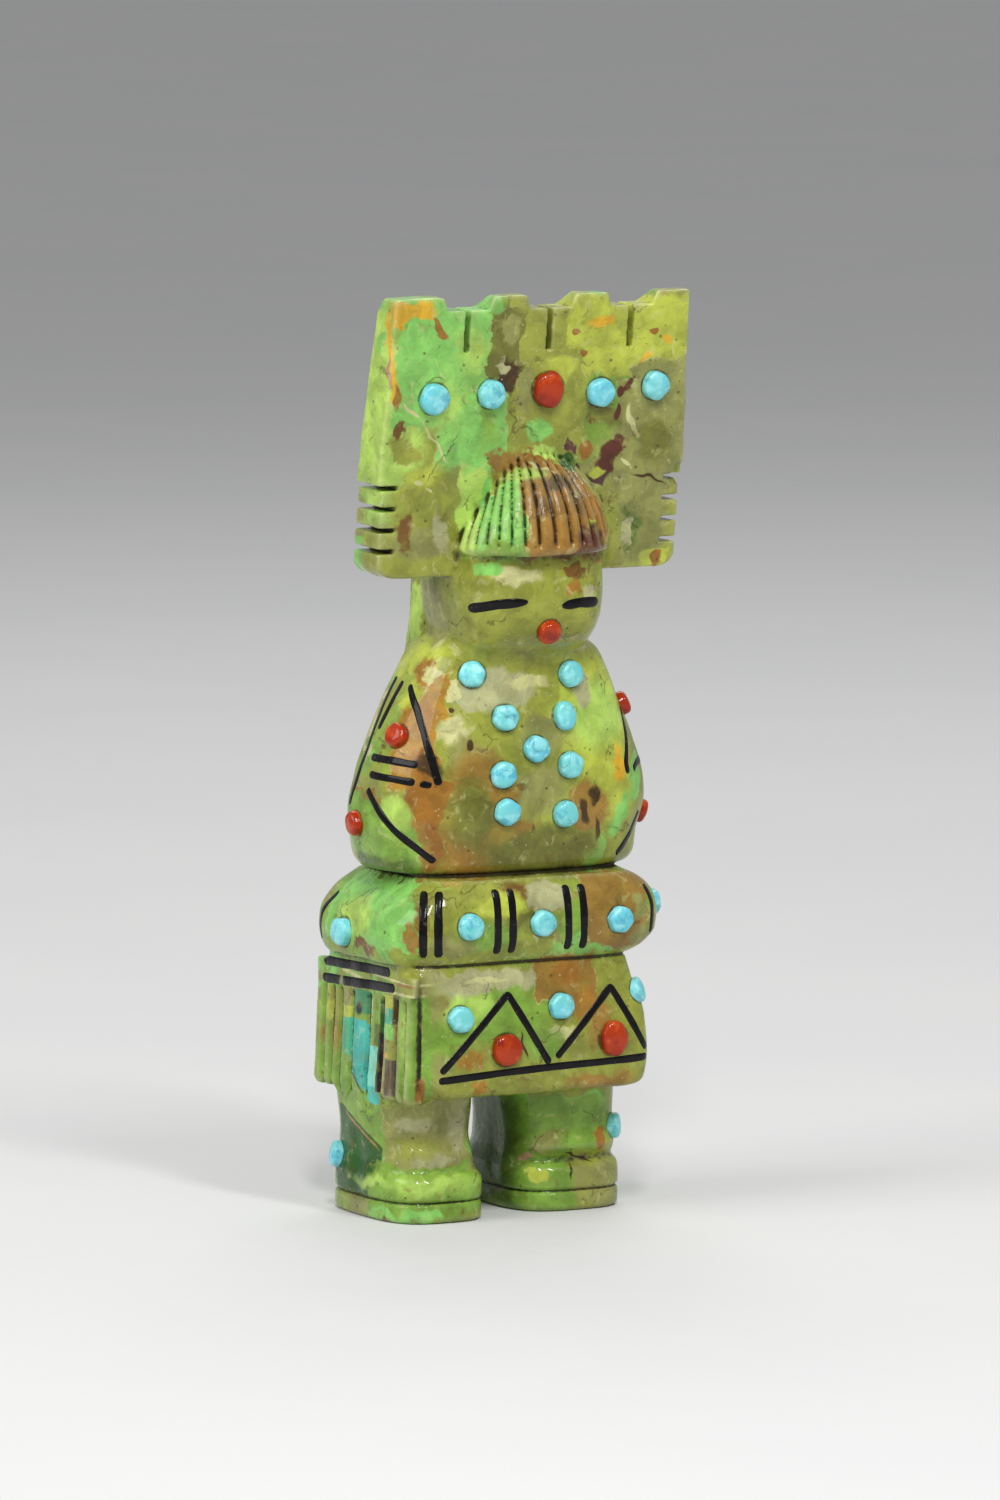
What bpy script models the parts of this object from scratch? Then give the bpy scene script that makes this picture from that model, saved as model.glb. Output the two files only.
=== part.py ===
"""Standing maiden with a stepped headdress tablet, carved from one piece of green stone.

Turquoise dots, coral dots and black strips are set in pockets cut in the stone.
Each of them is an object of its own.
Metres, +Z up. The figure faces -Y and +X is the figure's own left. The soles stand on Z = 0.
"""

import math

import bmesh
import bpy
from mathutils import Vector
from mathutils.bvhtree import BVHTree

MM = 0.001

# Heights of the figure's parts, one above the other
LEG_HEIGHT = 9.4 * MM
KILT_HEIGHT = 9.9 * MM
BELT_HEIGHT = 6.6 * MM
TORSO_HEIGHT = 17.0 * MM
FACE_HEIGHT = 6.8 * MM
HAIR_HEIGHT = 8.4 * MM
TABLET_HEIGHT = 21.2 * MM
TABLET_OVERLAP = 1.7 * MM  # how far the tablet's lower edge hangs below the fringe of hair

# Half widths and half depths
KILT_RIGHT_REACH = 11.0 * MM  # hangs straight on the figure's right, under the sash
KILT_LEFT_REACH = 9.0 * MM
KILT_HALF_DEPTH = 8.1 * MM
KILT_SQUARENESS = 11
BELT_HALF_WIDTH = 11.5 * MM
BELT_HALF_DEPTH = 8.4 * MM
BELT_SQUARENESS = 5.5
TORSO_HALF_WIDTH = 11.5 * MM
TORSO_HALF_DEPTH = 6.9 * MM
FACE_HALF_WIDTH = 6.15 * MM
FACE_HALF_DEPTH = 6.3 * MM
FACE_SQUARENESS = 3.1
HAIR_HALF_WIDTH = 7.2 * MM
HAIR_HALF_DEPTH = 7.5 * MM
HAIR_SQUARENESS = 2.35
FRINGE_TUCK = 0.965  # width of the hair's lower edge over its width just above
HAIR_FALL_HALF_WIDTH = 5.45 * MM
HAIR_FALL_BACK = 4.9 * MM
HAIR_FALL_FRONT = 2.0 * MM  # hidden inside the head
HAIR_FALL_CORNER = 0.6 * MM
RIGHT_LEG_HALF_WIDTH = 3.95 * MM
LEFT_LEG_HALF_WIDTH = 4.45 * MM
LEG_HALF_DEPTH = 6.0 * MM
LEG_SQUARENESS = 3.2
LEG_GAP = 3.3 * MM
LEG_SET_BACK = 0.7 * MM
FOOT_LENGTH = 13.4 * MM
FOOT_HEIGHT = 3.8 * MM
SOLE_THICKNESS = 1.55 * MM
SOLE_GROOVE = 0.22 * MM
LEFT_FOOT_SETBACK = 1.3 * MM

# The figure's axis leans a little to its own left as it rises
BELT_AXIS = -1.1 * MM
TORSO_AXIS = -0.1 * MM
HAIR_AXIS = -0.1 * MM
LEG_GAP_AXIS = -2.2 * MM
TORSO_SET_BACK = 0.2 * MM
FACE_SET_FORWARD = 1.85 * MM
HAIR_SET_FORWARD = 1.9 * MM

# Tablet
TABLET_HALF_WIDTH = 12.9 * MM
TABLET_TOP_HALF_WIDTH = 12.4 * MM
TABLET_LOW_THICKNESS = 4.4 * MM
TABLET_TOP_THICKNESS = 3.0 * MM
TABLET_LEAN = math.radians(7.9)
TABLET_END_TILT = math.radians(2.3)
TABLET_BACK_BEVEL = 1.2 * MM
TABLET_BEVEL_SLOPE = 0.6
TABLET_TOP_CORNER = 0.3 * MM
TABLET_FRONT = -4.15 * MM  # front face at the tablet's lower edge
TABLET_CORNER = 1.6 * MM  # how far in the rounded lower corners begin
TABLET_CORNER_RISE = 1.2 * MM
TABLET_CORNER_STEPS = 4
NOTCH_COUNT = 3
NOTCH_PITCH = 6.85 * MM
NOTCH_CENTRE = 0.65 * MM
NOTCH_WIDTH = 3.5 * MM
NOTCH_DEPTH = 1.05 * MM
NOTCH_FLARE = 0.3 * MM
SAW_SLOT_WIDTH = 0.45 * MM
SAW_SLOT_DEPTH = 3.15 * MM
SIDE_SLOT_COUNT = 4
SIDE_SLOT_PITCH = 1.6 * MM
SIDE_SLOT_LOWEST = 2.15 * MM  # above the tablet's lower edge
SIDE_SLOT_HEIGHT = 0.38 * MM
SIDE_SLOT_DEPTH = 1.35 * MM
SIDE_INSET = 0.35 * MM  # of the sides below the highest slot
SIDE_STEP_RISE = 0.1 * MM

# Sash on the figure's right side
SASH_PROUD = 0.8 * MM  # past the kilt's side
SASH_HALF_DEPTH = 7.95 * MM
SASH_THICKNESS = 3.2 * MM
SASH_CORNER = 0.3 * MM
SASH_ROUND = 1.5 * MM  # corner of the knot inside the belt
SASH_CORNER_REACH = 1.3  # across over deep, for each of those corners
SASH_NARROWING = 0.9 * MM  # of its half depth, inside the belt
SASH_SLANT = 2.6 * MM  # its narrow ends run in under the kilt
SASH_KNOT_DROP = 2.4 * MM  # how far the plain knot reaches below the belt
SASH_KNOT_HEIGHT = 1.8 * MM
SASH_KNOT_RISE = 1.0 * MM  # how far it reaches up inside the belt
SASH_FLARE = 0.35 * MM  # how much further out the fringe is at its foot
SASH_HANG = 0.3 * MM  # how far the fringe hangs below the hem
SASH_FOOT_ROUND = 0.5 * MM
SASH_LEDGE = 0.1 * MM
FLUTE_COUNT = 11
FLUTE_DEPTH = 0.3 * MM

# Flutes of the hair
STRAND_COUNT = 26
FALL_STRAND_COUNT = 5
STRAND_DEPTH = 0.32 * MM

# Inlays
INLAY_GAP = 0.08 * MM  # between a set stone and the wall of its pocket
DOT_RADIUS = 1.0 * MM
TABLET_DOT_RADIUS = 1.1 * MM
CORAL_RADIUS = 0.93 * MM
LARGE_CORAL_RADIUS = 1.2 * MM
CORAL_STRETCH = 1.14  # height over width of the oval one
DOT_SUNK = 0.7 * MM
DOT_RIM = 0.25 * MM
DOT_DOME = 0.5 * MM
DOT_CURVE = ((1.0, 0.0), (0.78, 0.68), (0.4, 1.0))  # radius share, dome share
DOT_SIDES = 9
SEAT_SPREAD = 0.7  # a seat's tilt is taken from the surface this share of its radius away
LINE_WIDTH = 0.56 * MM
BAR_WIDTH = 0.62 * MM
EYE_WIDTH = 0.66 * MM
SASH_BAR_WIDTH = 0.74 * MM
STRIP_DEPTH = 0.5 * MM
STRIP_STEP = 0.9 * MM
STRIP_SAG = 0.035 * MM  # most that a straight stretch of strip may stray from the surface
LEAST_MITRE = 0.4
POCKET_RISE = 0.9 * MM  # how far the cutters stand out of the stone

# Places of the inlays: bearing seen from, then across and up as shares of the zone that holds them
TABLET_DOTS = ((0, -0.676, 0.637), (0, -0.308, 0.646), (0, 0.405, 0.637), (0, 0.764, 0.654))
TABLET_CORAL = (0, 0.062, 0.655)
CHEST_DOTS = (
    (0, -0.410, 0.872),
    (0, 0.265, 0.858),
    (0, -0.233, 0.684),
    (0, 0.196, 0.678),
    (0, -0.026, 0.543),
    (0, 0.221, 0.464),
    (0, -0.269, 0.437),
    (0, -0.247, 0.274),
    (0, 0.179, 0.250),
)
ARM_RIGHT_CORALS = ((-70, -0.125, 0.603), (-90, -0.104, 0.209))
ARM_LEFT_CORALS = ((60, 0.22, 0.69), (85, -0.10, 0.215))
BELT_DOTS = (
    (-90, -0.165, 0.30),
    (0, -0.505, 0.464),
    (0, 0.020, 0.457),
    (0, 0.589, 0.442),
    (90, -0.55, 0.545),
)
KILT_DOTS = ((0, -0.685, 0.610), (0, 0.085, 0.659), (90, -0.84, 0.72))
KILT_CORALS = ((0, -0.339, 0.359), (0, 0.482, 0.388), (180, 0.905, 0.354))
LEG_RIGHT_DOT = (-100, -0.30, 0.433)
LEG_LEFT_DOT = (60, 0.14, 0.64)
NOSE = (0, 0.002, 0.167)
EYE_RIGHT = (-25, (-0.335, 0.423), (-0.072, 0.481), (0.201, 0.502))
EYE_LEFT = (10, (-0.069, 0.439), (0.150, 0.466), (0.436, 0.454))
ARM_RIGHT_STRIPS = (
    (-90, (-0.25, 0.84), (-0.22, 0.67), (-0.235, 0.52), (-0.30, 0.38), (-0.33, 0.283)),
    (-80, (-0.188, 0.828), (-0.235, 0.70), (-0.27, 0.62)),
    (-55, (-0.315, 0.817), (-0.204, 0.718), (-0.127, 0.615), (-0.060, 0.509), (-0.010, 0.401)),
    (-60, (-0.470, 0.502), (-0.264, 0.499), (-0.075, 0.485)),
    (-60, (-0.453, 0.429), (-0.239, 0.421), (-0.080, 0.410)),
    (-60, (-0.455, 0.365), (-0.336, 0.291), (-0.197, 0.201), (-0.069, 0.130), (0.042, 0.064)),
)
ARM_LEFT_STRIPS = (
    (35, (0.371, 0.689), (0.335, 0.579), (0.268, 0.452), (0.280, 0.403)),
    (35, (0.345, 0.415), (0.400, 0.440), (0.520, 0.450)),
    (35, (0.413, 0.224), (0.348, 0.140), (0.200, 0.050)),
)
BELT_BAR_TOP = 0.86
BELT_BAR_FOOT = 0.135
BELT_CORNER_BARS = (-0.326, -0.247)
BELT_CORNER_BEARING = -30
BELT_FRONT_BARS = (-0.302, -0.195, 0.215, 0.328)
BELT_END_STRIPS = (
    (35, (0.260, 0.80), (0.285, 0.585), (0.275, 0.25)),
    (-90, (-0.52, 0.70), (-0.66, 0.45), (-0.70, 0.14)),
)
SASH_BARS = ((-90, (-0.78, 0.925), (0.51, 0.946)), (-90, (-0.80, 0.790), (0.59, 0.832)))
KILT_STRIPS = (
    (0, (-0.794, 0.225), (-0.310, 0.776), (-0.020, 0.265)),
    (0, (0.065, 0.305), (0.481, 0.780), (0.684, 0.402)),
    (0, (-0.807, 0.159), (-0.412, 0.183), (0.002, 0.205), (0.366, 0.215), (0.700, 0.227)),
)

RING_POINTS = 32
HEAD_POINTS = 20
LEG_POINTS = 20
REACH = 60.0 * MM  # rays start this far out
SHARP_ANGLE = math.radians(35)

HEM_Z = LEG_HEIGHT
KILT_TOP_Z = HEM_Z + KILT_HEIGHT
BELT_TOP_Z = KILT_TOP_Z + BELT_HEIGHT
NECK_Z = BELT_TOP_Z + TORSO_HEIGHT
FRINGE_Z = NECK_Z + FACE_HEIGHT
TABLET_Z = FRINGE_Z - TABLET_OVERLAP


def clear_scene():
    for old in list(bpy.data.objects):
        bpy.data.objects.remove(old, do_unlink=True)


def material(name, colour, roughness):
    made = bpy.data.materials.new(name)
    made.use_nodes = True
    shader = made.node_tree.nodes["Principled BSDF"]
    shader.inputs["Base Color"].default_value = (*colour, 1.0)
    shader.inputs["Roughness"].default_value = roughness
    shader.inputs["Metallic"].default_value = 0.0
    made.diffuse_color = (*colour, 1.0)
    return made


def object_from(name, mesh_builder, finish):
    """A new object whose mesh is what the bmesh holds."""
    bmesh.ops.recalc_face_normals(mesh_builder, faces=mesh_builder.faces)
    mesh = bpy.data.meshes.new(name)
    mesh_builder.to_mesh(mesh)
    mesh_builder.free()
    mesh.materials.append(finish)
    mesh.shade_smooth()
    mesh.set_sharp_from_angle(angle=SHARP_ANGLE)
    made = bpy.data.objects.new(name, mesh)
    bpy.context.scene.collection.objects.link(made)
    return made


def as_helper(thing):
    thing.hide_render = True
    thing.display_type = "WIRE"
    return thing


def combine(target, helper, operation):
    step = target.modifiers.new(helper.name, "BOOLEAN")
    step.operation = operation
    step.solver = "EXACT"
    step.use_self = True
    step.object = as_helper(helper)


def loft(builder, rings):
    """Closed skin through rings with equal numbers of points."""
    levels = [[builder.verts.new(point) for point in ring] for ring in rings]
    for low, high in zip(levels, levels[1:]):
        for i in range(len(low)):
            j = (i + 1) % len(low)
            builder.faces.new((low[i], low[j], high[j], high[i]))
    builder.faces.new(levels[0])
    builder.faces.new(levels[-1])


def outline(axis_x, axis_y, half_x, half_y, squareness, z, count=RING_POINTS):
    """One level ring. Squareness 2 is an ellipse, and higher values are boxes with ever tighter corners."""
    ring = []
    for i in range(count):
        angle = 2 * math.pi * i / count
        c, s = math.cos(angle), math.sin(angle)
        x = axis_x + half_x * math.copysign(abs(c) ** (2 / squareness), c)
        y = axis_y + half_y * math.copysign(abs(s) ** (2 / squareness), s)
        ring.append(Vector((x, y, z)))
    return ring


def mix(start, end, share):
    return start + (end - start) * share


def kilt_rings():
    """Skirt with a rounded hem: height share, then how many mm in its right side, left side and depth are."""
    stations = (
        (0.0, 0.7, 1.3, 0.7),
        (0.07, 0.1, 0.3, 0.1),
        (0.3, 0.0, 0.0, 0.0),
        (0.55, 0.0, 0.25, 0.1),
        (0.78, 0.0, 1.0, 0.4),
        (1.0, 0.2, 1.6, 0.8),
    )
    rings = []
    for share, right_in, left_in, depth_in in stations:
        right = -KILT_RIGHT_REACH + right_in * MM
        left = KILT_LEFT_REACH - left_in * MM
        rings.append(
            outline(
                (left + right) / 2,
                0.0,
                (left - right) / 2,
                KILT_HALF_DEPTH - depth_in * MM,
                KILT_SQUARENESS,
                HEM_Z + KILT_HEIGHT * share,
            )
        )
    return rings


def belt_rings():
    """Padded roll: height share, then how many mm in its right end, left end and faces are."""
    stations = (
        (0.03, 0.9, 2.1, 0.8),
        (0.12, 0.4, 1.1, 0.4),
        (0.3, 0.05, 0.15, 0.0),
        (0.5, 0.25, 0.0, 0.0),
        (0.66, 0.9, 0.2, 0.12),
        (0.78, 1.65, 0.65, 0.35),
        (0.88, 2.6, 1.4, 0.75),
        (0.965, 3.4, 2.5, 1.2),
    )
    rings = []
    for share, right_in, left_in, face_in in stations:
        right = BELT_AXIS - BELT_HALF_WIDTH + right_in * MM
        left = BELT_AXIS + BELT_HALF_WIDTH - left_in * MM
        rings.append(
            outline(
                (left + right) / 2,
                0.0,
                (left - right) / 2,
                BELT_HALF_DEPTH - face_in * MM,
                BELT_SQUARENESS,
                KILT_TOP_Z + BELT_HEIGHT * share,
            )
        )
    return rings


def torso_rings():
    """Bulb with folded arms, narrowing to the neck.

    Each station holds its shares of height, width and depth, its shift in mm and its squareness.
    """
    stations = (
        (0.0, 0.87, 0.89, -0.45, 3.0),
        (0.045, 0.925, 0.945, -0.4, 2.9),
        (0.14, 0.960, 0.985, -0.45, 2.7),
        (0.27, 1.0, 1.0, -0.15, 2.6),
        (0.42, 0.965, 0.99, 0.05, 2.6),
        (0.57, 0.887, 0.96, 0.05, 2.6),
        (0.74, 0.783, 0.90, 0.15, 2.5),
        (0.87, 0.695, 0.86, 0.35, 2.4),
        (0.95, 0.63, 0.80, 0.35, 2.4),
        (1.0, 0.56, 0.70, 0.2, 2.4),
        (1.05, 0.44, 0.52, 0.1, 2.4),
    )
    return [
        outline(
            TORSO_AXIS + shift * MM,
            TORSO_SET_BACK,
            TORSO_HALF_WIDTH * width,
            TORSO_HALF_DEPTH * depth,
            squareness,
            BELT_TOP_Z + TORSO_HEIGHT * share,
        )
        for share, width, depth, shift, squareness in stations
    ]


def head_rings():
    """Rounded block from the neck up into the hair: shares of height, width, front depth and back depth."""
    stations = (
        (-0.32, 0.80, 0.45, 1.0),
        (-0.12, 0.83, 0.64, 1.0),
        (0.02, 0.87, 0.82, 1.0),
        (0.16, 0.92, 0.93, 1.0),
        (0.36, 0.97, 0.99, 1.0),
        (0.62, 1.0, 1.0, 1.0),
        (0.9, 0.99, 0.985, 1.0),
        (1.15, 0.95, 0.94, 1.0),
    )
    rings = []
    for share, width, front, back in stations:
        forward = FACE_SET_FORWARD + FACE_HALF_DEPTH * (front - back) / 2
        depth = FACE_HALF_DEPTH * (front + back) / 2
        z = NECK_Z + FACE_HEIGHT * share
        ring = outline(0.0, -forward, FACE_HALF_WIDTH * width, depth, FACE_SQUARENESS, z, HEAD_POINTS)
        rings.append(ring)
    return rings


def hair_rings():
    """Dome of hair in front of and behind the tablet, with strands that run up to its crown."""
    rings = []
    levels = (0.0, 0.1, 0.35, 0.6, 0.8, 0.94)
    for n, share in enumerate(levels):
        size = math.sqrt(1 - share**2) * (FRINGE_TUCK if n == 0 else 1.0)
        ring = outline(
            HAIR_AXIS,
            -HAIR_SET_FORWARD,
            HAIR_HALF_WIDTH * size,
            HAIR_HALF_DEPTH * size,
            HAIR_SQUARENESS,
            FRINGE_Z + HAIR_HEIGHT * share,
            2 * STRAND_COUNT,
        )
        centre = sum(ring, Vector()) / len(ring)
        for i in range(0, len(ring), 2):
            inward = (centre - ring[i]).normalized()
            ring[i] += inward * STRAND_DEPTH * size
        rings.append(ring)
    return rings


def hair_fall_rings():
    """Hair that hangs behind the neck, grooved down its back: height share of the face, then width share."""
    stations = ((-0.35, 1.09), (-0.05, 1.07), (0.5, 1.0), (1.15, 0.98))
    side_back = HAIR_FALL_BACK - HAIR_FALL_CORNER
    grooves = 2 * FALL_STRAND_COUNT
    rings = []
    for share, width in stations:
        z = NECK_Z + FACE_HEIGHT * share
        half = HAIR_FALL_HALF_WIDTH * width
        flat = half - HAIR_FALL_CORNER
        ring = [Vector((-half, HAIR_FALL_FRONT, z)), Vector((half, HAIR_FALL_FRONT, z))]
        ring.append(Vector((half, side_back, z)))
        for i in range(grooves + 1):
            y = HAIR_FALL_BACK - (STRAND_DEPTH if i % 2 else 0.0)
            ring.append(Vector((mix(flat, -flat, i / grooves), y, z)))
        ring.append(Vector((-half, side_back, z)))
        rings.append(ring)
    return rings


def tablet_outline():
    """Front view of the tablet, round from its lower left corner: across, and up from the lower edge."""
    half = TABLET_HALF_WIDTH - SIDE_INSET
    right = []
    for i in range(TABLET_CORNER_STEPS + 1):
        turn = math.radians(90 * i / TABLET_CORNER_STEPS)
        across = half - TABLET_CORNER * (1 - math.sin(turn))
        right.append((across, TABLET_CORNER_RISE * (1 - math.cos(turn))))
    for n in range(SIDE_SLOT_COUNT):
        middle = SIDE_SLOT_LOWEST + n * SIDE_SLOT_PITCH
        low, high = middle - SIDE_SLOT_HEIGHT / 2, middle + SIDE_SLOT_HEIGHT / 2
        inner = half - SIDE_SLOT_DEPTH
        right += [(half, low), (inner, low), (inner, high)]
        if n < SIDE_SLOT_COUNT - 1:
            right.append((half, high))
        else:
            right.append((TABLET_HALF_WIDTH, high + SIDE_STEP_RISE))
    right.append((TABLET_TOP_HALF_WIDTH, TABLET_HEIGHT - TABLET_TOP_CORNER))
    right.append((TABLET_TOP_HALF_WIDTH - TABLET_TOP_CORNER, TABLET_HEIGHT))
    left = [(-x, up) for x, up in reversed(right)]
    top = []
    first = NOTCH_CENTRE - NOTCH_PITCH * (NOTCH_COUNT - 1) / 2
    for n in reversed(range(NOTCH_COUNT)):
        middle = first + n * NOTCH_PITCH
        floor = TABLET_HEIGHT - NOTCH_DEPTH
        edge, rim = NOTCH_WIDTH / 2, NOTCH_WIDTH / 2 + NOTCH_FLARE
        slot = SAW_SLOT_WIDTH / 2
        top += [
            (middle + rim, TABLET_HEIGHT),
            (middle + edge, floor),
            (middle + slot, floor),
            (middle + slot, floor - SAW_SLOT_DEPTH),
            (middle - slot, floor - SAW_SLOT_DEPTH),
            (middle - slot, floor),
            (middle - edge, floor),
            (middle - rim, TABLET_HEIGHT),
        ]
    return right + top + left


def tablet_point(across, up, depth_share):
    """A point of the tablet. Depth share 0 is the front face and 1 is the back face."""
    thickness = mix(TABLET_LOW_THICKNESS, TABLET_TOP_THICKNESS, up / TABLET_HEIGHT)
    bevel = TABLET_BEVEL_SLOPE * max(0.0, up - TABLET_HEIGHT + TABLET_BACK_BEVEL)
    depth = (thickness - bevel) * depth_share
    y = TABLET_FRONT - up * math.sin(TABLET_LEAN) + depth
    z = TABLET_Z + up * math.cos(TABLET_LEAN) + depth * math.tan(TABLET_END_TILT)
    return Vector((across, y, z))


def build_tablet(finish):
    builder = bmesh.new()
    shape = tablet_outline()
    loft(builder, [[tablet_point(x, up, share) for x, up in shape] for share in (0.0, 1.0)])
    return object_from("tablet_form", builder, finish)


def build_sash(finish):
    """Fringed sash end under its plain knot, on the figure's right side."""
    outer = -KILT_RIGHT_REACH - SASH_PROUD
    inner = outer + SASH_THICKNESS
    fringe_top = KILT_TOP_Z - SASH_KNOT_DROP

    def section(z, proud, groove, corner, half_depth):
        face = outer - proud
        side = face + SASH_CORNER_REACH * corner
        ring = [
            Vector((inner, SASH_SLANT - half_depth, z)),
            Vector((inner, half_depth - SASH_SLANT, z)),
            Vector((side, half_depth, z)),
        ]
        for i in range(2 * FLUTE_COUNT + 1):
            y = mix(half_depth - corner, corner - half_depth, i / (2 * FLUTE_COUNT))
            ring.append(Vector((face + (groove if i % 2 else 0.0), y, z)))
        ring.append(Vector((side, -half_depth, z)))
        return ring

    foot = HEM_Z - SASH_HANG
    ledge = fringe_top + SASH_KNOT_HEIGHT
    full, inside = SASH_HALF_DEPTH, SASH_HALF_DEPTH - SASH_NARROWING
    stations = (
        (foot, -SASH_CORNER, FLUTE_DEPTH, SASH_CORNER, full),
        (foot + SASH_FOOT_ROUND, 0.0, FLUTE_DEPTH, SASH_CORNER, full),
        (fringe_top - FLUTE_DEPTH, -SASH_FLARE, FLUTE_DEPTH, SASH_CORNER, full),
        (fringe_top, -SASH_FLARE, 0.0, SASH_CORNER, full),
        (ledge, -SASH_FLARE, 0.0, SASH_CORNER, full),
        (ledge + SASH_LEDGE, -SASH_FLARE, 0.0, SASH_ROUND, inside),
        (KILT_TOP_Z + SASH_KNOT_RISE, -SASH_FLARE, 0.0, SASH_ROUND, inside),
    )
    return form("sash_form", [section(*station) for station in stations], finish)


def leg_rings(side):
    """One leg and its foot: height, width share, front and back of the ring."""
    half = LEFT_LEG_HALF_WIDTH if side > 0 else RIGHT_LEG_HALF_WIDTH
    axis = LEG_GAP_AXIS + side * (LEG_GAP / 2 + half)
    shin = LEG_SET_BACK - LEG_HALF_DEPTH
    heel = LEG_SET_BACK + LEG_HALF_DEPTH
    toe = heel - FOOT_LENGTH + (LEFT_FOOT_SETBACK if side > 0 else 0.0)
    groove = SOLE_GROOVE
    stations = (
        (0.0, 1.00, toe + 0.35 * MM, heel - 0.35 * MM),
        (0.3 * MM, 1.06, toe, heel),
        (SOLE_THICKNESS - groove, 1.07, toe, heel),
        (SOLE_THICKNESS, 1.07 - groove / half, toe + groove, heel - groove),
        (SOLE_THICKNESS + groove, 1.07, toe, heel),
        (FOOT_HEIGHT - 0.5 * MM, 1.08, toe + 0.1 * MM, heel),
        (FOOT_HEIGHT, 1.03, toe + 0.7 * MM, heel - 0.1 * MM),
        (mix(FOOT_HEIGHT, HEM_Z, 0.2), 0.99, mix(toe, shin, 0.75), heel - 0.3 * MM),
        (mix(FOOT_HEIGHT, HEM_Z, 0.45), 0.97, shin + 0.2 * MM, heel - 0.3 * MM),
        (HEM_Z, 1.0, shin, heel),
        (HEM_Z + KILT_HEIGHT * 0.15, 1.0, shin, heel),
    )
    return [
        outline(axis, (front + back) / 2, half * width, (back - front) / 2, LEG_SQUARENESS, z, LEG_POINTS)
        for z, width, front, back in stations
    ]


def form(name, rings, finish):
    builder = bmesh.new()
    loft(builder, rings)
    return object_from(name, builder, finish)


def bake(thing):
    """Makes the mesh what the modifiers give and removes the helpers."""
    graph = bpy.context.evaluated_depsgraph_get()
    mesh = bpy.data.meshes.new_from_object(thing.evaluated_get(graph))
    helpers = [step.object for step in thing.modifiers]
    thing.modifiers.clear()
    thing.data = mesh
    mesh.shade_smooth()
    mesh.set_sharp_from_angle(angle=SHARP_ANGLE)
    for helper in helpers:
        bpy.data.objects.remove(helper, do_unlink=True)


def build_figure(finish):
    """The carved stone before any pocket is cut in it."""
    figure = form("stone_figure", kilt_rings() + belt_rings() + torso_rings(), finish)
    combine(figure, form("head_form", head_rings(), finish), "UNION")
    combine(figure, build_tablet(finish), "UNION")
    combine(figure, form("hair_form", hair_rings(), finish), "UNION")
    combine(figure, form("hair_fall_form", hair_fall_rings(), finish), "UNION")
    combine(figure, build_sash(finish), "UNION")
    combine(figure, form("right_leg_form", leg_rings(-1), finish), "UNION")
    combine(figure, form("left_leg_form", leg_rings(1), finish), "UNION")
    bake(figure)
    return figure


class Zone:
    """A band of the figure, in which places are given as shares of its half width, half depth and height."""

    def __init__(self, centre, half_width, half_depth, base, height):
        self.centre = centre
        self.half_width = half_width
        self.half_depth = half_depth
        self.base = base
        self.height = height

    def half(self, bearing):
        return abs(math.cos(bearing)) * self.half_width + abs(math.sin(bearing)) * self.half_depth

    def place(self, bearing, across, up):
        """Distance across, as seen from the bearing, and height."""
        middle = math.cos(bearing) * self.centre
        return middle + across * self.half(bearing), self.base + up * self.height


LEGS = Zone(LEG_GAP_AXIS, LEG_GAP / 2 + LEFT_LEG_HALF_WIDTH * 2, LEG_HALF_DEPTH, 0.0, LEG_HEIGHT)
KILT = Zone(0.0, KILT_RIGHT_REACH, KILT_HALF_DEPTH, HEM_Z, KILT_HEIGHT)
BELT = Zone(BELT_AXIS, BELT_HALF_WIDTH, BELT_HALF_DEPTH, KILT_TOP_Z, BELT_HEIGHT)
TORSO = Zone(TORSO_AXIS, TORSO_HALF_WIDTH, TORSO_HALF_DEPTH, BELT_TOP_Z, TORSO_HEIGHT)
FACE = Zone(0.0, FACE_HALF_WIDTH, FACE_HALF_DEPTH, NECK_Z, FACE_HEIGHT)
TABLET = Zone(0.0, TABLET_HALF_WIDTH, TABLET_LOW_THICKNESS, TABLET_Z, TABLET_HEIGHT)


class Skin:
    """The carved stone's surface, met by level rays from outside."""

    def __init__(self, stone):
        graph = bpy.context.evaluated_depsgraph_get()
        self.tree = BVHTree.FromObject(stone, graph)

    def point(self, bearing, across, z):
        outward = Vector((math.sin(bearing), -math.cos(bearing), 0.0))
        aside = Vector((math.cos(bearing), math.sin(bearing), 0.0))
        start = aside * across + outward * REACH + Vector((0.0, 0.0, z))
        return self.tree.ray_cast(start, -outward)[0]

    def seat(self, bearing, across, z, radius):
        """Middle of a round seat and its three axes: along, up and out of the stone."""
        spread = radius * SEAT_SPREAD
        sides = [self.point(bearing, across + step, z) for step in (-spread, spread)]
        ends = [self.point(bearing, across, z + step) for step in (-spread, spread)]
        along = (sides[1] - sides[0]).normalized()
        out = along.cross(ends[1] - ends[0]).normalized()
        middle = (sides[0] + sides[1] + ends[0] + ends[1]) / 4
        return middle, along, out.cross(along), out


def round_rings(seat, profile, stretch):
    """Rings round a seat's axis: radius and height above the surface for each."""
    middle, along, up, out = seat
    rings = []
    for radius, height in profile:
        ring = []
        for i in range(DOT_SIDES):
            angle = 2 * math.pi * i / DOT_SIDES
            flat = along * math.cos(angle) * radius + up * math.sin(angle) * radius * stretch
            ring.append(middle + flat + out * height)
        rings.append(ring)
    return rings


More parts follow.
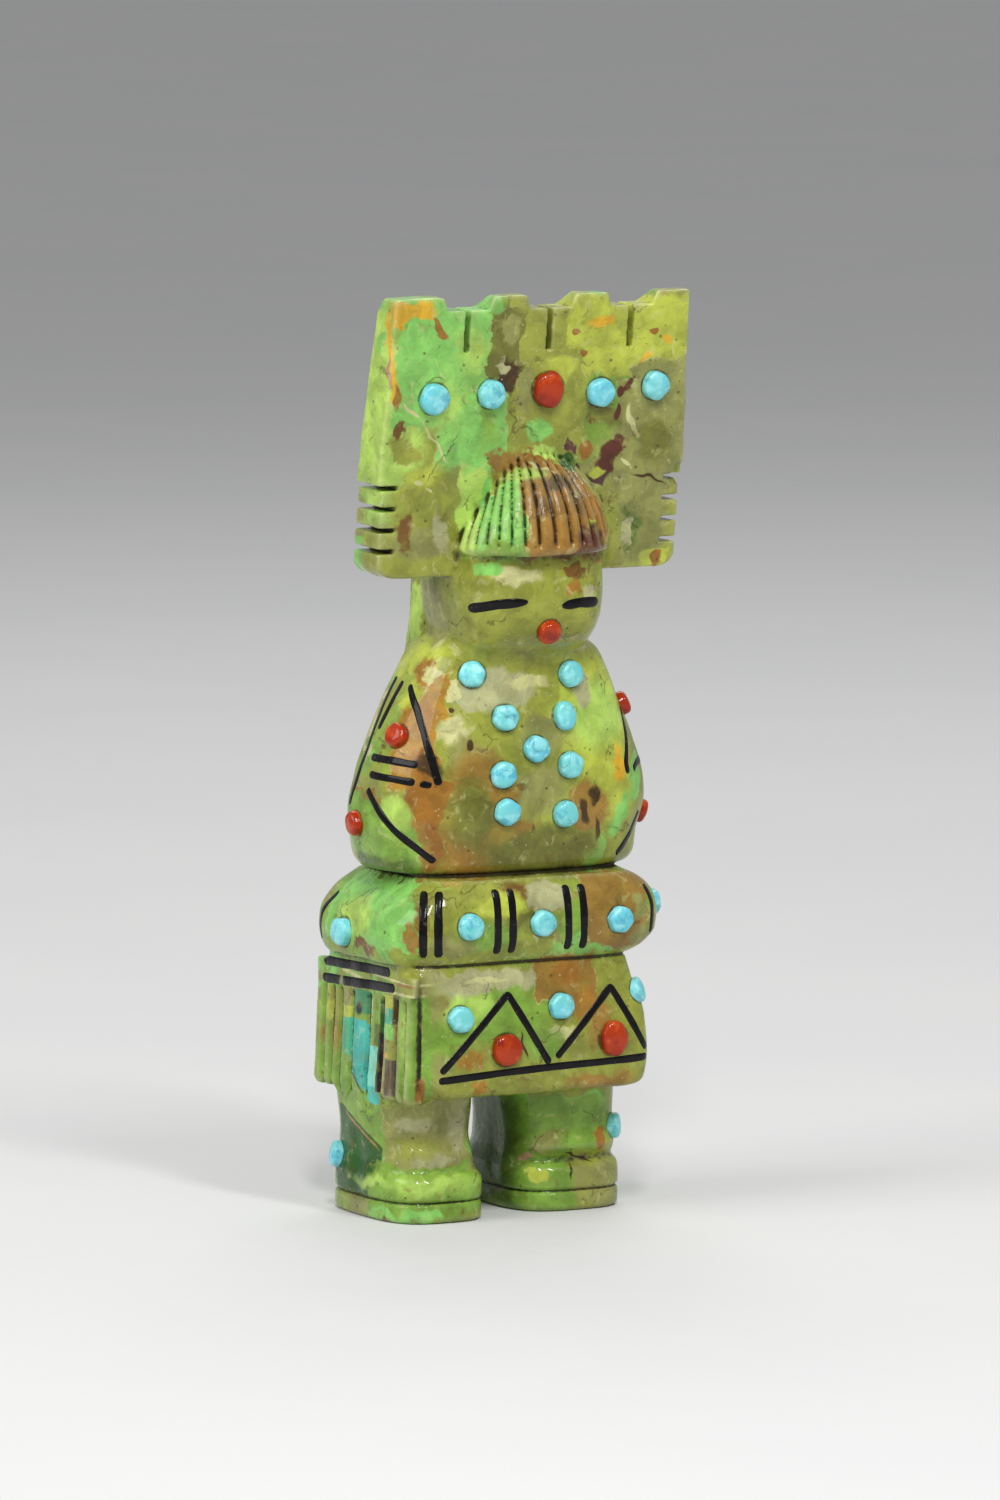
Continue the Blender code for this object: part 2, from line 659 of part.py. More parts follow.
def set_dot(name, zone, place, radius, skin, pockets, finish, stretch=1.0):
    """Domed round stone, and its pocket among the cutters."""
    degrees, across_share, up_share = place
    bearing = math.radians(degrees)
    across, z = zone.place(bearing, across_share, up_share)
    seat = skin.seat(bearing, across, z, radius)
    profile = [(radius, -DOT_SUNK)]
    profile += [(radius * share, DOT_RIM + DOT_DOME * rise) for share, rise in DOT_CURVE]
    dot = form(name, round_rings(seat, profile, stretch), finish)
    wide = radius + INLAY_GAP
    depths = ((wide, -DOT_SUNK - INLAY_GAP), (wide, DOT_RIM + DOT_DOME + POCKET_RISE))
    loft(pockets, round_rings(seat, depths, stretch))
    return dot


def course_points(start, end, bearing, skin):
    """Points after the start, as many as keep straight lines between them close to the skin."""
    middle = start.lerp(end, 0.5)
    chord = (skin.point(bearing, *start) + skin.point(bearing, *end)) / 2
    sag = (skin.point(bearing, *middle) - chord).length
    if sag < STRIP_SAG or (end - start).length < STRIP_STEP:
        return [end]
    return course_points(start, middle, bearing, skin) + course_points(middle, end, bearing, skin)


def ribbon_rings(path, bearing, skin, width, longer, outward, inward):
    """Four-cornered rings along a path that lies on the skin, mitred at its bends."""
    points = [Vector(path[0])]
    for start, end in zip(path, path[1:]):
        points += course_points(Vector(start), Vector(end), bearing, skin)
    first = (points[1] - points[0]).normalized()
    last = (points[-1] - points[-2]).normalized()
    points[0] = points[0] - first * longer
    points[-1] = points[-1] + last * longer
    out = Vector((math.sin(bearing), -math.cos(bearing), 0.0))
    rings = []
    for i, point in enumerate(points):
        before = (point - points[i - 1]).normalized() if i else first
        after = (points[i + 1] - point).normalized() if i + 1 < len(points) else last
        along = (before + after).normalized()
        side = Vector((-along.y, along.x)) * (width / 2 / max(LEAST_MITRE, along.dot(after)))
        left = skin.point(bearing, *(point + side))
        right = skin.point(bearing, *(point - side))
        raised, sunk = out * outward, out * inward
        rings.append([left + raised, right + raised, right - sunk, left - sunk])
    return rings


def set_strip(name, zone, course, width, skin, pockets, finish):
    """Flush strip along a course, and its pocket among the cutters."""
    bearing = math.radians(course[0])
    path = [zone.place(bearing, across, up) for across, up in course[1:]]
    strip = form(name, ribbon_rings(path, bearing, skin, width, 0.0, 0.0, STRIP_DEPTH), finish)
    wide = width + 2 * INLAY_GAP
    deep = STRIP_DEPTH + INLAY_GAP
    loft(pockets, ribbon_rings(path, bearing, skin, wide, INLAY_GAP, POCKET_RISE, deep))
    return strip


def numbered(stem, places):
    return [(f"{stem}_{n}", place) for n, place in enumerate(places, 1)]


def set_inlays(stone, turquoise, coral, jet):
    """All set stones, then their pockets cut in the figure."""
    skin = Skin(stone)
    pockets = bmesh.new()
    dots = (
        ("turquoise_tablet", TABLET, TABLET_DOTS, TABLET_DOT_RADIUS, turquoise),
        ("turquoise_chest", TORSO, CHEST_DOTS, DOT_RADIUS, turquoise),
        ("turquoise_belt", BELT, BELT_DOTS, DOT_RADIUS, turquoise),
        ("turquoise_kilt", KILT, KILT_DOTS, DOT_RADIUS, turquoise),
        ("coral_arm_right", TORSO, ARM_RIGHT_CORALS, CORAL_RADIUS, coral),
        ("coral_arm_left", TORSO, ARM_LEFT_CORALS, CORAL_RADIUS, coral),
        ("coral_kilt", KILT, KILT_CORALS, LARGE_CORAL_RADIUS, coral),
    )
    for stem, zone, places, radius, finish in dots:
        for name, place in numbered(stem, places):
            set_dot(name, zone, place, radius, skin, pockets, finish)
    set_dot("turquoise_leg_right", LEGS, LEG_RIGHT_DOT, DOT_RADIUS, skin, pockets, turquoise)
    set_dot("turquoise_leg_left", LEGS, LEG_LEFT_DOT, DOT_RADIUS, skin, pockets, turquoise)
    set_dot("coral_nose", FACE, NOSE, CORAL_RADIUS, skin, pockets, coral)
    set_dot("coral_tablet", TABLET, TABLET_CORAL, LARGE_CORAL_RADIUS, skin, pockets, coral, CORAL_STRETCH)

    bars = [(BELT_CORNER_BEARING, across) for across in BELT_CORNER_BARS]
    bars += [(0, across) for across in BELT_FRONT_BARS]
    belt_bars = [(turn, (across, BELT_BAR_TOP), (across, BELT_BAR_FOOT)) for turn, across in bars]
    strips = (
        ("jet_arm_right", TORSO, ARM_RIGHT_STRIPS, LINE_WIDTH),
        ("jet_arm_left", TORSO, ARM_LEFT_STRIPS, LINE_WIDTH),
        ("jet_belt", BELT, belt_bars, BAR_WIDTH),
        ("jet_belt_end", BELT, BELT_END_STRIPS, LINE_WIDTH),
        ("jet_sash", KILT, SASH_BARS, SASH_BAR_WIDTH),
        ("jet_kilt", KILT, KILT_STRIPS, LINE_WIDTH),
    )
    for stem, zone, courses, width in strips:
        for name, course in numbered(stem, courses):
            set_strip(name, zone, course, width, skin, pockets, jet)
    set_strip("jet_eye_right", FACE, EYE_RIGHT, EYE_WIDTH, skin, pockets, jet)
    set_strip("jet_eye_left", FACE, EYE_LEFT, EYE_WIDTH, skin, pockets, jet)

    combine(stone, object_from("pocket_cutters", pockets, stone.data.materials[0]), "DIFFERENCE")
    bake(stone)


def main():
    clear_scene()
    green_stone = material("green_stone", (0.30, 0.42, 0.10), 0.25)
    turquoise = material("turquoise", (0.16, 0.60, 0.72), 0.3)
    coral = material("coral", (0.58, 0.05, 0.02), 0.25)
    jet = material("jet", (0.01, 0.01, 0.012), 0.2)
    set_inlays(build_figure(green_stone), turquoise, coral, jet)


main()
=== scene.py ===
"""Standing stone maiden with a stepped headdress tablet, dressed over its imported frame.

The stone is meshed from a distance field of the same named sizes as the CAD solid, so that its edges are worn
round and its flutes and sawn slots are crisp. Dots and strips are set on that surface where the CAD has them.
Lengths in the modelling code are in millimetres, and meshes are made in metres. The figure faces -Y.
"""

import math
from collections import namedtuple

import bmesh
import bpy
import numpy as np
import openvdb
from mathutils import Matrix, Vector
from mathutils.bvhtree import BVHTree


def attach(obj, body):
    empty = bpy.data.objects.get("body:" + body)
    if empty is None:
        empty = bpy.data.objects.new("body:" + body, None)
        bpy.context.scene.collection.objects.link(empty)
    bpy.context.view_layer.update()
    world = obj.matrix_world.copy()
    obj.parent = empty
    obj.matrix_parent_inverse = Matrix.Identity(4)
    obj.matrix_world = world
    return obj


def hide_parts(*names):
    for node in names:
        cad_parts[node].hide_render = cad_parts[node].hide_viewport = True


MM = 0.001

# Heights of the figure's parts
LEG_HEIGHT = 9.4
KILT_HEIGHT = 9.9
BELT_HEIGHT = 6.6
TORSO_HEIGHT = 17.0
FACE_HEIGHT = 6.8
HAIR_HEIGHT = 8.4
TABLET_HEIGHT = 21.2
TABLET_OVERLAP = 1.7

# Half widths and half depths
KILT_RIGHT_REACH = 11.0
KILT_LEFT_REACH = 9.0
KILT_HALF_DEPTH = 8.1
KILT_SQUARENESS = 11
BELT_HALF_WIDTH = 11.5
BELT_HALF_DEPTH = 8.4
BELT_SQUARENESS = 5.5
TORSO_HALF_WIDTH = 11.5
TORSO_HALF_DEPTH = 6.9
FACE_HALF_WIDTH = 6.15
FACE_HALF_DEPTH = 6.3
FACE_SQUARENESS = 3.1
HAIR_HALF_WIDTH = 7.2
HAIR_HALF_DEPTH = 7.5
HAIR_SQUARENESS = 2.35
FRINGE_TUCK = 0.965
HAIR_FALL_HALF_WIDTH = 5.45
HAIR_FALL_BACK = 4.9
HAIR_FALL_FRONT = 2.0
RIGHT_LEG_HALF_WIDTH = 3.95
LEFT_LEG_HALF_WIDTH = 4.45
LEG_HALF_DEPTH = 6.0
LEG_SQUARENESS = 3.2
LEG_GAP = 3.3
LEG_SET_BACK = 0.7
FOOT_LENGTH = 13.4
FOOT_HEIGHT = 3.8
SOLE_THICKNESS = 1.55
SOLE_GROOVE = 0.3
LEFT_FOOT_SETBACK = 1.3

BELT_AXIS = -1.1
TORSO_AXIS = -0.1
HAIR_AXIS = -0.1
LEG_GAP_AXIS = -2.2
TORSO_SET_BACK = 0.2
FACE_SET_FORWARD = 1.85
HAIR_SET_FORWARD = 1.9

# Tablet
TABLET_HALF_WIDTH = 12.9
TABLET_TOP_HALF_WIDTH = 12.4
TABLET_LOW_THICKNESS = 4.4
TABLET_TOP_THICKNESS = 3.0
TABLET_LEAN = math.radians(7.9)
TABLET_END_TILT = math.radians(2.3)
TABLET_BACK_BEVEL = 1.2
TABLET_BEVEL_SLOPE = 0.6
TABLET_FRONT = -4.15
TABLET_CORNER = 1.6
TABLET_CORNER_RISE = 1.2
TABLET_EDGE = 0.18  # radius of its upright edges
NOTCH_COUNT = 3
NOTCH_PITCH = 6.85
NOTCH_CENTRE = 0.65
NOTCH_WIDTH = 3.5
NOTCH_DEPTH = 1.05
NOTCH_FLARE = 0.3
NOTCH_SLANT = 0.95  # how far each notch's left wall lies back behind its front edge
SAW_SLOT_WIDTH = 0.45
SAW_SLOT_DEPTH = 3.15
SIDE_SLOT_COUNT = 4
SIDE_SLOT_PITCH = 1.6
SIDE_SLOT_LOWEST = 2.15
SIDE_SLOT_HEIGHT = 0.38
SIDE_SLOT_DEPTH = 1.35
SIDE_INSET = 0.35

# Sash
SASH_PROUD = 0.8
SASH_HALF_DEPTH = 7.95
SASH_THICKNESS = 3.2
SASH_CORNER = 0.3
SASH_ROUND = 1.5
SASH_CORNER_REACH = 1.3
SASH_NARROWING = 0.9
SASH_SLANT = 2.6
SASH_KNOT_DROP = 2.4
SASH_KNOT_HEIGHT = 1.8
SASH_KNOT_RISE = 1.0
SASH_FLARE = 0.35
SASH_HANG = 0.3
SASH_FOOT_ROUND = 0.5
SASH_LEDGE = 0.1
SASH_SEAM = -11.15
SASH_SEAM_DEPTH = 0.7
FLUTE_PLACES = (6.6, 5.3, 4.0, 2.0, -0.6, -2.8, -5.0, -6.3, -7.3)  # uneven, as the carver filed them
FLUTE_HALF_WIDTH = 0.42
FLUTE_DEPTH = 0.5

STRAND_COUNT = 42
STRAND_DEPTH = 0.5
HAIR_HEM = 0.5
FALL_STRAND_COUNT = 5
FALL_STRAND_DEPTH = 0.35
CROWN_RADIUS = 3.0  # within which the strands fade
CROWN_BARE = 0.9
HAIR_TRIM_REACH = 6.9  # of the hair's right shoulder, at the fringe
HAIR_TRIM_WAY = (0.8, 0.6)
HAIR_TRIM_SOFT = 1.2

# Fillets and grooves
NECK_FILLET = 0.9
LIMB_FILLET = 0.3
TABLET_FILLET = 0.2
HAIR_FILLET = 0.1
CARVING_REACH = 0.3  # how far from its own part's skin a carving fades
WAIST_GROOVE = 0.32
WAIST_GROOVE_HALF = 0.26
SOLE_GROOVE_HALF = 0.2
KILT_CREASE = 0.25
KILT_CREASE_HALF = 0.22
SASH_SEAM_HALF = 0.2
FILED_DEPTH = 0.045
FILED_WAVE = 0.016

# Inlays
DOT_RADIUS = 1.0
TABLET_DOT_RADIUS = 1.1
CORAL_RADIUS = 0.93
LARGE_CORAL_RADIUS = 1.2
DOT_SUNK = 0.4
DOT_RIM = 0.42
DOT_DOME = 0.33
DOT_SHYNESS = 0.03
DOT_SHOULDER = 0.975  # share of the radius where the side turns into the dome
DOT_ROUNDNESS = 0.62
DOT_WOBBLE = 0.026
DOT_TILT = 0.04
DOT_STEPS = 48
STRIP_PROUD = 0.03
STRIP_DEEP = 0.25
STRIP_STEP = 0.12
STRIP_WAVES = 4  # by which its width wavers: their paces and sizes lie between these
STRIP_WAVE_PACES = (0.8, 3.5)
STRIP_WAVE_SIZES = (0.01, 0.035)
STRIP_END_LEAST = 0.18  # of the width, left at an end
LINE_WIDTH = 0.56
BAR_WIDTH = 0.62
EYE_WIDTH = 0.76
SASH_BAR_WIDTH = 0.74

# Places of the inlays: bearing seen from, then across and up as shares of the zone that holds them
TABLET_DOTS = ((0, -0.676, 0.637), (0, -0.308, 0.646), (0, 0.405, 0.637), (0, 0.764, 0.654))
TABLET_CORAL = (0, 0.062, 0.655)
CHEST_DOTS = (
    (0, -0.410, 0.872),
    (0, 0.265, 0.858),
    (0, -0.233, 0.684),
    (0, 0.196, 0.678),
    (0, -0.026, 0.543),
    (0, 0.221, 0.464),
    (0, -0.269, 0.437),
    (0, -0.247, 0.274),
    (0, 0.179, 0.250),
)
ARM_RIGHT_CORALS = ((-70, -0.125, 0.603), (-90, -0.104, 0.209))
ARM_LEFT_CORALS = ((60, 0.22, 0.69), (85, -0.10, 0.215))
BELT_DOTS = (
    (-90, -0.165, 0.30),
    (0, -0.505, 0.464),
    (0, 0.020, 0.457),
    (0, 0.589, 0.442),
    (90, -0.55, 0.545),
)
KILT_DOTS = ((0, -0.685, 0.610), (0, 0.085, 0.659), (90, -0.84, 0.72))
KILT_CORALS = ((0, -0.339, 0.359), (0, 0.482, 0.388), (180, 0.905, 0.354))
LEG_RIGHT_DOT = (-100, -0.30, 0.433)
LEG_LEFT_DOT = (60, 0.14, 0.64)
NOSE = (0, 0.002, 0.167)
EYE_RIGHT = (-25, (-0.335, 0.423), (-0.072, 0.481), (0.201, 0.502))
EYE_LEFT = (10, (-0.069, 0.439), (0.150, 0.466), (0.436, 0.454))
EYE_RIGHT_ENDS = (0.55, 1.6)  # mm over which each end is rounded
EYE_LEFT_ENDS = (1.1, 0.5)
ARM_RIGHT_STRIPS = (
    (-90, (-0.25, 0.84), (-0.22, 0.67), (-0.235, 0.52), (-0.30, 0.38), (-0.33, 0.283)),
    (-80, (-0.188, 0.828), (-0.235, 0.70), (-0.27, 0.62)),
    (-55, (-0.315, 0.817), (-0.204, 0.718), (-0.127, 0.615), (-0.060, 0.509), (-0.010, 0.401)),
    (-60, (-0.470, 0.502), (-0.264, 0.499), (-0.075, 0.485)),
    (-60, (-0.453, 0.429), (-0.239, 0.421), (-0.080, 0.410)),
    (-60, (-0.455, 0.365), (-0.336, 0.291), (-0.197, 0.201), (-0.069, 0.130), (0.042, 0.064)),
)
ARM_LEFT_STRIPS = (
    (35, (0.371, 0.689), (0.335, 0.579), (0.268, 0.452), (0.280, 0.403)),
    (35, (0.345, 0.415), (0.400, 0.440), (0.520, 0.450)),
    (35, (0.413, 0.224), (0.348, 0.140), (0.200, 0.050)),
)
BELT_BAR_TOP = 0.86
BELT_BAR_FOOT = 0.135
BELT_CORNER_BARS = (-0.305, -0.226)
BELT_CORNER_BEARING = -30
BELT_FRONT_BARS = (-0.302, -0.195, 0.215, 0.328)
BELT_END_STRIPS = (
    (35, (0.260, 0.80), (0.285, 0.585), (0.275, 0.25)),
    (-90, (-0.52, 0.70), (-0.66, 0.45), (-0.70, 0.14)),
)
SASH_BARS = ((-90, (-0.825, 0.92), (0.51, 0.946)), (-90, (-0.85, 0.785), (0.59, 0.832)))
KILT_STRIPS = (
    (0, (-0.835, 0.215), (-0.310, 0.776), (-0.010, 0.235)),
    (0, (0.045, 0.275), (0.481, 0.780), (0.70, 0.385), (0.758, 0.290)),
    (0, (-0.85, 0.154), (-0.412, 0.183), (0.002, 0.205), (0.366, 0.215), (0.765, 0.229)),
)

# Dots that are out of round: widths and heights as shares of their radius
DOT_SHAPES = {
    "turquoise_tablet_1": (1.06, 1.08),
    "turquoise_chest_4": (0.86, 1.12),
    "coral_kilt_2": (0.88, 1.13),
    "coral_tablet": (1.0, 1.14),
    "turquoise_belt_1": (1.22, 1.04),
}
# Loose bits of jet that lie beside a strip
STRIP_BITS = {"jet_arm_right_5": [(-60, (-0.046, 0.405), (0.020, 0.399))]}
# Pale chip in the sash's bars: middle and half sizes
JET_GAP = (-12.1, 3.8, 17.3)
JET_GAP_SIZE = (2.0, 0.28, 0.9)
# Ragged chips in the stone: middle and half sizes
CHIPS = (
    ((12.3, -5.3, 54.75), (0.75, 0.9, 0.55)),
    ((12.5, -5.2, 55.4), (0.5, 0.6, 0.6)),
    ((11.6, -5.5, 54.5), (0.5, 0.35, 0.3)),
)

HEM_Z = LEG_HEIGHT
KILT_TOP_Z = HEM_Z + KILT_HEIGHT
BELT_TOP_Z = KILT_TOP_Z + BELT_HEIGHT
NECK_Z = BELT_TOP_Z + TORSO_HEIGHT
FRINGE_Z = NECK_Z + FACE_HEIGHT
TABLET_Z = FRINGE_Z - TABLET_OVERLAP
FRINGE_TOP_Z = KILT_TOP_Z - SASH_KNOT_DROP

# Distance field
VOXEL = 0.14
BAND = 8  # voxels each side of the surface
LOW = np.array((-14.0, -10.4, -0.7))
HIGH = np.array((13.8, 9.6, 70.2))
RING = 144
TRIANGLES = 186000


# Colours of the stone, as seen in plain daylight
COLOURS = {
    "green": (128, 190, 104),
    "apple": (168, 200, 104),
    "fern": (122, 160, 72),
    "leaf": (118, 154, 66),
    "lime": (172, 182, 78),
    "olive": (140, 146, 66),
    "darkolive": (108, 110, 52),
    "moss": (84, 108, 48),
    "forest": (34, 84, 26),
    "khaki": (138, 140, 88),
    "grey": (168, 168, 138),
    "cream": (194, 192, 150),
    "ochre": (210, 166, 50),
    "honey": (164, 122, 46),
    "amber": (150, 108, 48),
    "tan": (146, 114, 56),
    "rust": (144, 98, 42),
    "brown": (112, 80, 38),
    "umber": (70, 50, 28),
    "maroon": (88, 44, 34),
    "plum": (84, 52, 58),
    "pink": (166, 136, 112),
    "slate": (84, 74, 64),
    "teal": (62, 164, 142),
    "turquoise": (62, 172, 178),
    "jade": (62, 138, 104),
    "cyan": (122, 204, 206),
    "black": (20, 20, 18),
    # Painted shade in the sash's seam, in grooves and round the dots, the dot rings partly glue
    "shade_and_soot": (30, 24, 12),
}
# Veins and patches of the stone in the order that they lie, noted one by one: colour, shape, the pixel
# of the photograph that the middle lies on, half width and half height in pixels, degrees turned clockwise,
# softness of the edge, and the bearing faced where it isn't the surface's own. Bars and streaks are blocks
# and ovals that don't wander.
# Painted highlights in some rows: the apple on the lit side of the hair fall (413 617), the cream streak by
# the cheek (431 652) and the cream line along the arm's ridge (379 722).
# Painted shade in some rows: the khaki under the chin (540 645) and on the head's shaded side (435 611), the
# darkolive on the tablet (600 410) and on the lower belly (545 852), and the moss on the inner side of the
# left leg (490 1150).
PATCHES = """
olive block 520 700 150 190 0 .15 0
apple oval 372 400 22 110 0 .18 -90
lime block 625 335 68 40 0 .07 0
olive block 535 350 30 60 0 .09 0
olive block 545 405 34 55 0 .12 0
green block 447 362 52 64 0 .03 0
green block 471 428 34 40 0 .03 0
green oval 425 392 30 26 -25 .04 0
olive oval 404 448 18 12 -40 .18 0
cream oval 411 412 10 1.6 -38 .18 0
cream oval 429 432 14 1.6 -55 .18 0
cream oval 441 452 12 1.6 -50 .18 0
apple oval 474 352 12 22 20 .90 0
apple oval 440 400 16 26 -20 .90 0
leaf oval 486 425 7 22 5 .90 0
ochre block 416 312 20 9 4 .18 0
ochre oval 400 318 8 12 0 .12 0
ochre block 391 350 4 32 3 .30 -30
ochre oval 393 385 4 20 0 .18 -30
rust oval 396 398 2.5 12 0 .24 -30
pink oval 390 372 2.5 18 0 .24 -30
amber oval 441 330 13 3 -55 .12 0
brown oval 398 433 5 11 0 .18 0
darkolive block 506 342 16 34 0 .07 0
khaki oval 512 330 9 16 0 .24 0
umber oval 506 375 13 20 0 .15 0
grey oval 503 368 5 8 30 .24 0
khaki oval 527 392 9 24 0 .30 0
rust oval 578 331 4 4 0 .18 0
rust oval 584 353 4 3 0 .18 0
rust oval 655 331 5 4 0 .18 0
ochre oval 670 340 5 4 0 .18 0
ochre oval 645 357 6 4 20 .18 0
ochre oval 601 322 14 5 10 .42 0
lime oval 560 372 20 12 0 .36 0
khaki block 668 412 30 56 12 .07 0
khaki block 641 428 26 48 0 .12 0
darkolive oval 655 440 16 22 0 .36 0
darkolive oval 600 410 24 13 -40 .30 0
maroon oval 630 383 9 3.5 40 .15 0
maroon oval 620 390 4 8 -20 .15 0
maroon oval 618 412 2.5 8 10 .15 0
maroon oval 614 446 14 9 25 .18 0
maroon oval 606 462 8 14 0 .18
plum oval 598 478 9 8 0 .18
plum oval 569 447 6 7 0 .15 0
rust oval 586 452 7 9 20 .24
cream oval 634 420 3 16 20 .24 0
green oval 539 431 12 12 0 .15 0
apple oval 541 453 19 6 0 .24
tan block 507 464 16 12 0 .12
olive oval 430 505 34 40 0 .30 0
lime oval 425 480 20 14 0 .36 0
khaki oval 420 545 30 16 0 .30 0
grey oval 441 533 8 22 5 .18 0
brown oval 408 533 7 22 0 .18 0
cream oval 420 484 4 3 0 .18 0
cream oval 428 490 2 2 0 .18 0
khaki block 643 520 24 50 0 .15 0
moss oval 632 528 9 30 0 .42 0
grey oval 628 530 5 16 0 .18 0
khaki oval 640 500 12 14 0 .36 0
lime block 655 558 15 10 0 .12 0
rust oval 657 557 7 8 0 .18 0
umber oval 649 478 18 1.5 -16 .24 0
cream oval 627 464 8 1.8 -48 .24 0
apple block 476 515 14 48 0 .12
green block 500 515 22 48 0 .05
leaf oval 498 552 26 8 0 .30
amber block 567 508 46 56 0 .05
umber oval 560 480 22 8 0 .36
lime oval 593 531 5 13 0 .18
forest oval 569 464 8 9 0 .18
lime oval 595 472 8 6 0 .18
apple oval 520 470 26 8 0 .30
cream oval 540 466 16 1.6 -20 .24
maroon oval 594 543 23 21 0 .15
brown oval 565 558 48 6 0 .24
brown oval 537 500 4 30 0 .36
brown oval 577 500 5 20 0 .36
olive block 530 602 70 42 0 .12
olive oval 560 625 40 22 0 .30
cream oval 516 577 24 9 -5 .30
green oval 487 568 15 6 10 .18
brown oval 575 570 11 7 0 .18
amber oval 573 586 7 10 -20 .24
grey oval 590 591 9 7 0 .18
khaki oval 435 611 15 32 0 .18
apple oval 413 617 9 38 0 .12
cream oval 431 652 13 4 55 .30
khaki oval 540 645 40 9 0 .30
grey oval 500 692 42 20 0 .18
lime block 602 742 34 80 0 .21
apple oval 600 712 30 34 10 .30
khaki oval 545 735 26 20 0 .42
cream oval 450 692 9 11 20 .09
cream oval 452 731 17 15 0 .30
cream oval 530 684 20 6 3 .36
grey oval 584 691 9 18 0 .18
khaki oval 470 755 22 14 0 .36
khaki oval 528 786 22 12 20 .24
umber oval 520 788 8 2 20 .18
amber oval 474 850 46 36 0 .95
tan oval 480 790 30 40 0 .36
tan oval 524 842 11 30 10 .24
lime block 549 826 8 44 0 .12
umber oval 536 842 3 18 12 .24
tan oval 590 806 16 27 20 .24
umber oval 594 796 6 9 30 .24
umber oval 583 810 3 16 15 .24
umber oval 597 828 3 14 10 .24
ochre oval 620 764 5 21 0 .18
green oval 636 778 5 24 -20 .15
green oval 619 818 5 26 -28 .15
green oval 597 852 5 20 -25 .15
khaki oval 545 790 26 26 0 .42
honey block 422 728 20 54 0 .09
amber oval 426 722 9 30 0 .36
lime oval 412 700 7 18 0 .30
rust oval 417 771 14 20 0 .24
umber oval 428 765 5 16 10 .30
rust block 422 822 22 46 -12 .06
umber oval 414 846 8 22 -10 .36
darkolive oval 474 815 26 34 0 .48
darkolive oval 545 852 60 26 0 .30
tan oval 500 790 14 26 20 .36
umber oval 452 707 3 3 0 .18
umber oval 470 745 4 6 -30 .18
tan oval 362 850 46 65 0 .03
fern oval 361 851 43 61 0 .03
apple oval 392 812 20 16 -45 .30
moss oval 380 868 28 12 0 .42
khaki oval 358 862 10 16 0 .24
cream oval 379 722 3 44 -27 .18
lime oval 410 655 26 20 0 .30
amber oval 425 670 10 12 0 .30
cream oval 432 674 8 8 0 .18
green block 376 914 46 34 0 .03
apple oval 352 918 16 28 0 .30
brown oval 366 947 12 6 0 .18
tan oval 410 940 7 16 10 .18
brown oval 424 925 10 34 0 .36
rust oval 458 903 9 9 0 .18
olive block 492 922 62 40 0 .12 0
brown oval 520 898 22 16 0 .36
darkolive oval 520 915 20 16 0 .36
fern oval 488 938 30 14 0 .36
lime oval 500 905 24 12 0 .30
khaki oval 455 945 20 12 0 .36
grey oval 550 896 22 18 0 .09
cream oval 531 923 3 20 0 .18
tan block 614 908 34 36 0 .07
tan oval 604 900 14 12 20 .30
khaki oval 640 934 10 10 0 .36
khaki oval 640 905 6 14 0 .24
olive block 520 1030 140 70 0 .12 0
leaf oval 500 1010 60 34 0 .30
khaki oval 429 981 14 21 0 .18
apple oval 462 1004 28 24 0 .42
grey block 500 978 62 9 0 .30 0
grey oval 472 984 34 9 12 .36
cream oval 486 982 20 3 0 .24
tan block 566 978 30 22 0 .07
rust oval 566 972 16 8 0 .30
amber oval 585 1005 14 18 0 .24
tan oval 437 1008 14 7 30 .36
rust block 426 1082 8 14 0 .12 0
cream oval 563 1034 13 9 -10 .12
honey oval 471 1062 12 10 0 .18
olive block 540 1088 120 14 0 .18 0
tan oval 600 1082 34 10 0 .36
honey oval 480 1090 8 7 0 .24
khaki oval 434 1036 20 46 0 .42
leaf oval 540 1040 22 16 0 .48
leaf oval 450 1040 22 20 0 .36
umber oval 523 1045 1.6 14 15 .24
tan oval 600 1024 12 20 0 .42
leaf block 480 1150 175 62 0 .06
forest bar 358 1150 22 42 0 .03
leaf bar 366 1112 36 18 -23 .03 -75
tan streak 361 1130 28 1.6 -23 .24 -75
khaki block 430 1141 42 38 0 .12
grey oval 412 1124 20 8 0 .36
grey oval 430 1160 20 8 0 .42
olive oval 415 1150 22 8 0 .90
grey oval 458 1131 10 26 0 .48
leaf block 420 1192 70 22 0 .09
apple oval 432 1187 38 9 0 .90
apple oval 370 1184 12 5 5 .90
moss block 490 1150 22 54 0 .18
leaf oval 561 1127 54 32 0 .18
rust oval 601 1139 7 14 0 .18
lime oval 537 1175 12 9 0 .18
umber oval 580 1155 14 1.4 -15 .24
umber oval 571 1171 1.4 9 -15 .24
pink oval 524 1157 9 4 0 .24
khaki oval 545 1145 18 12 0 .36
"""
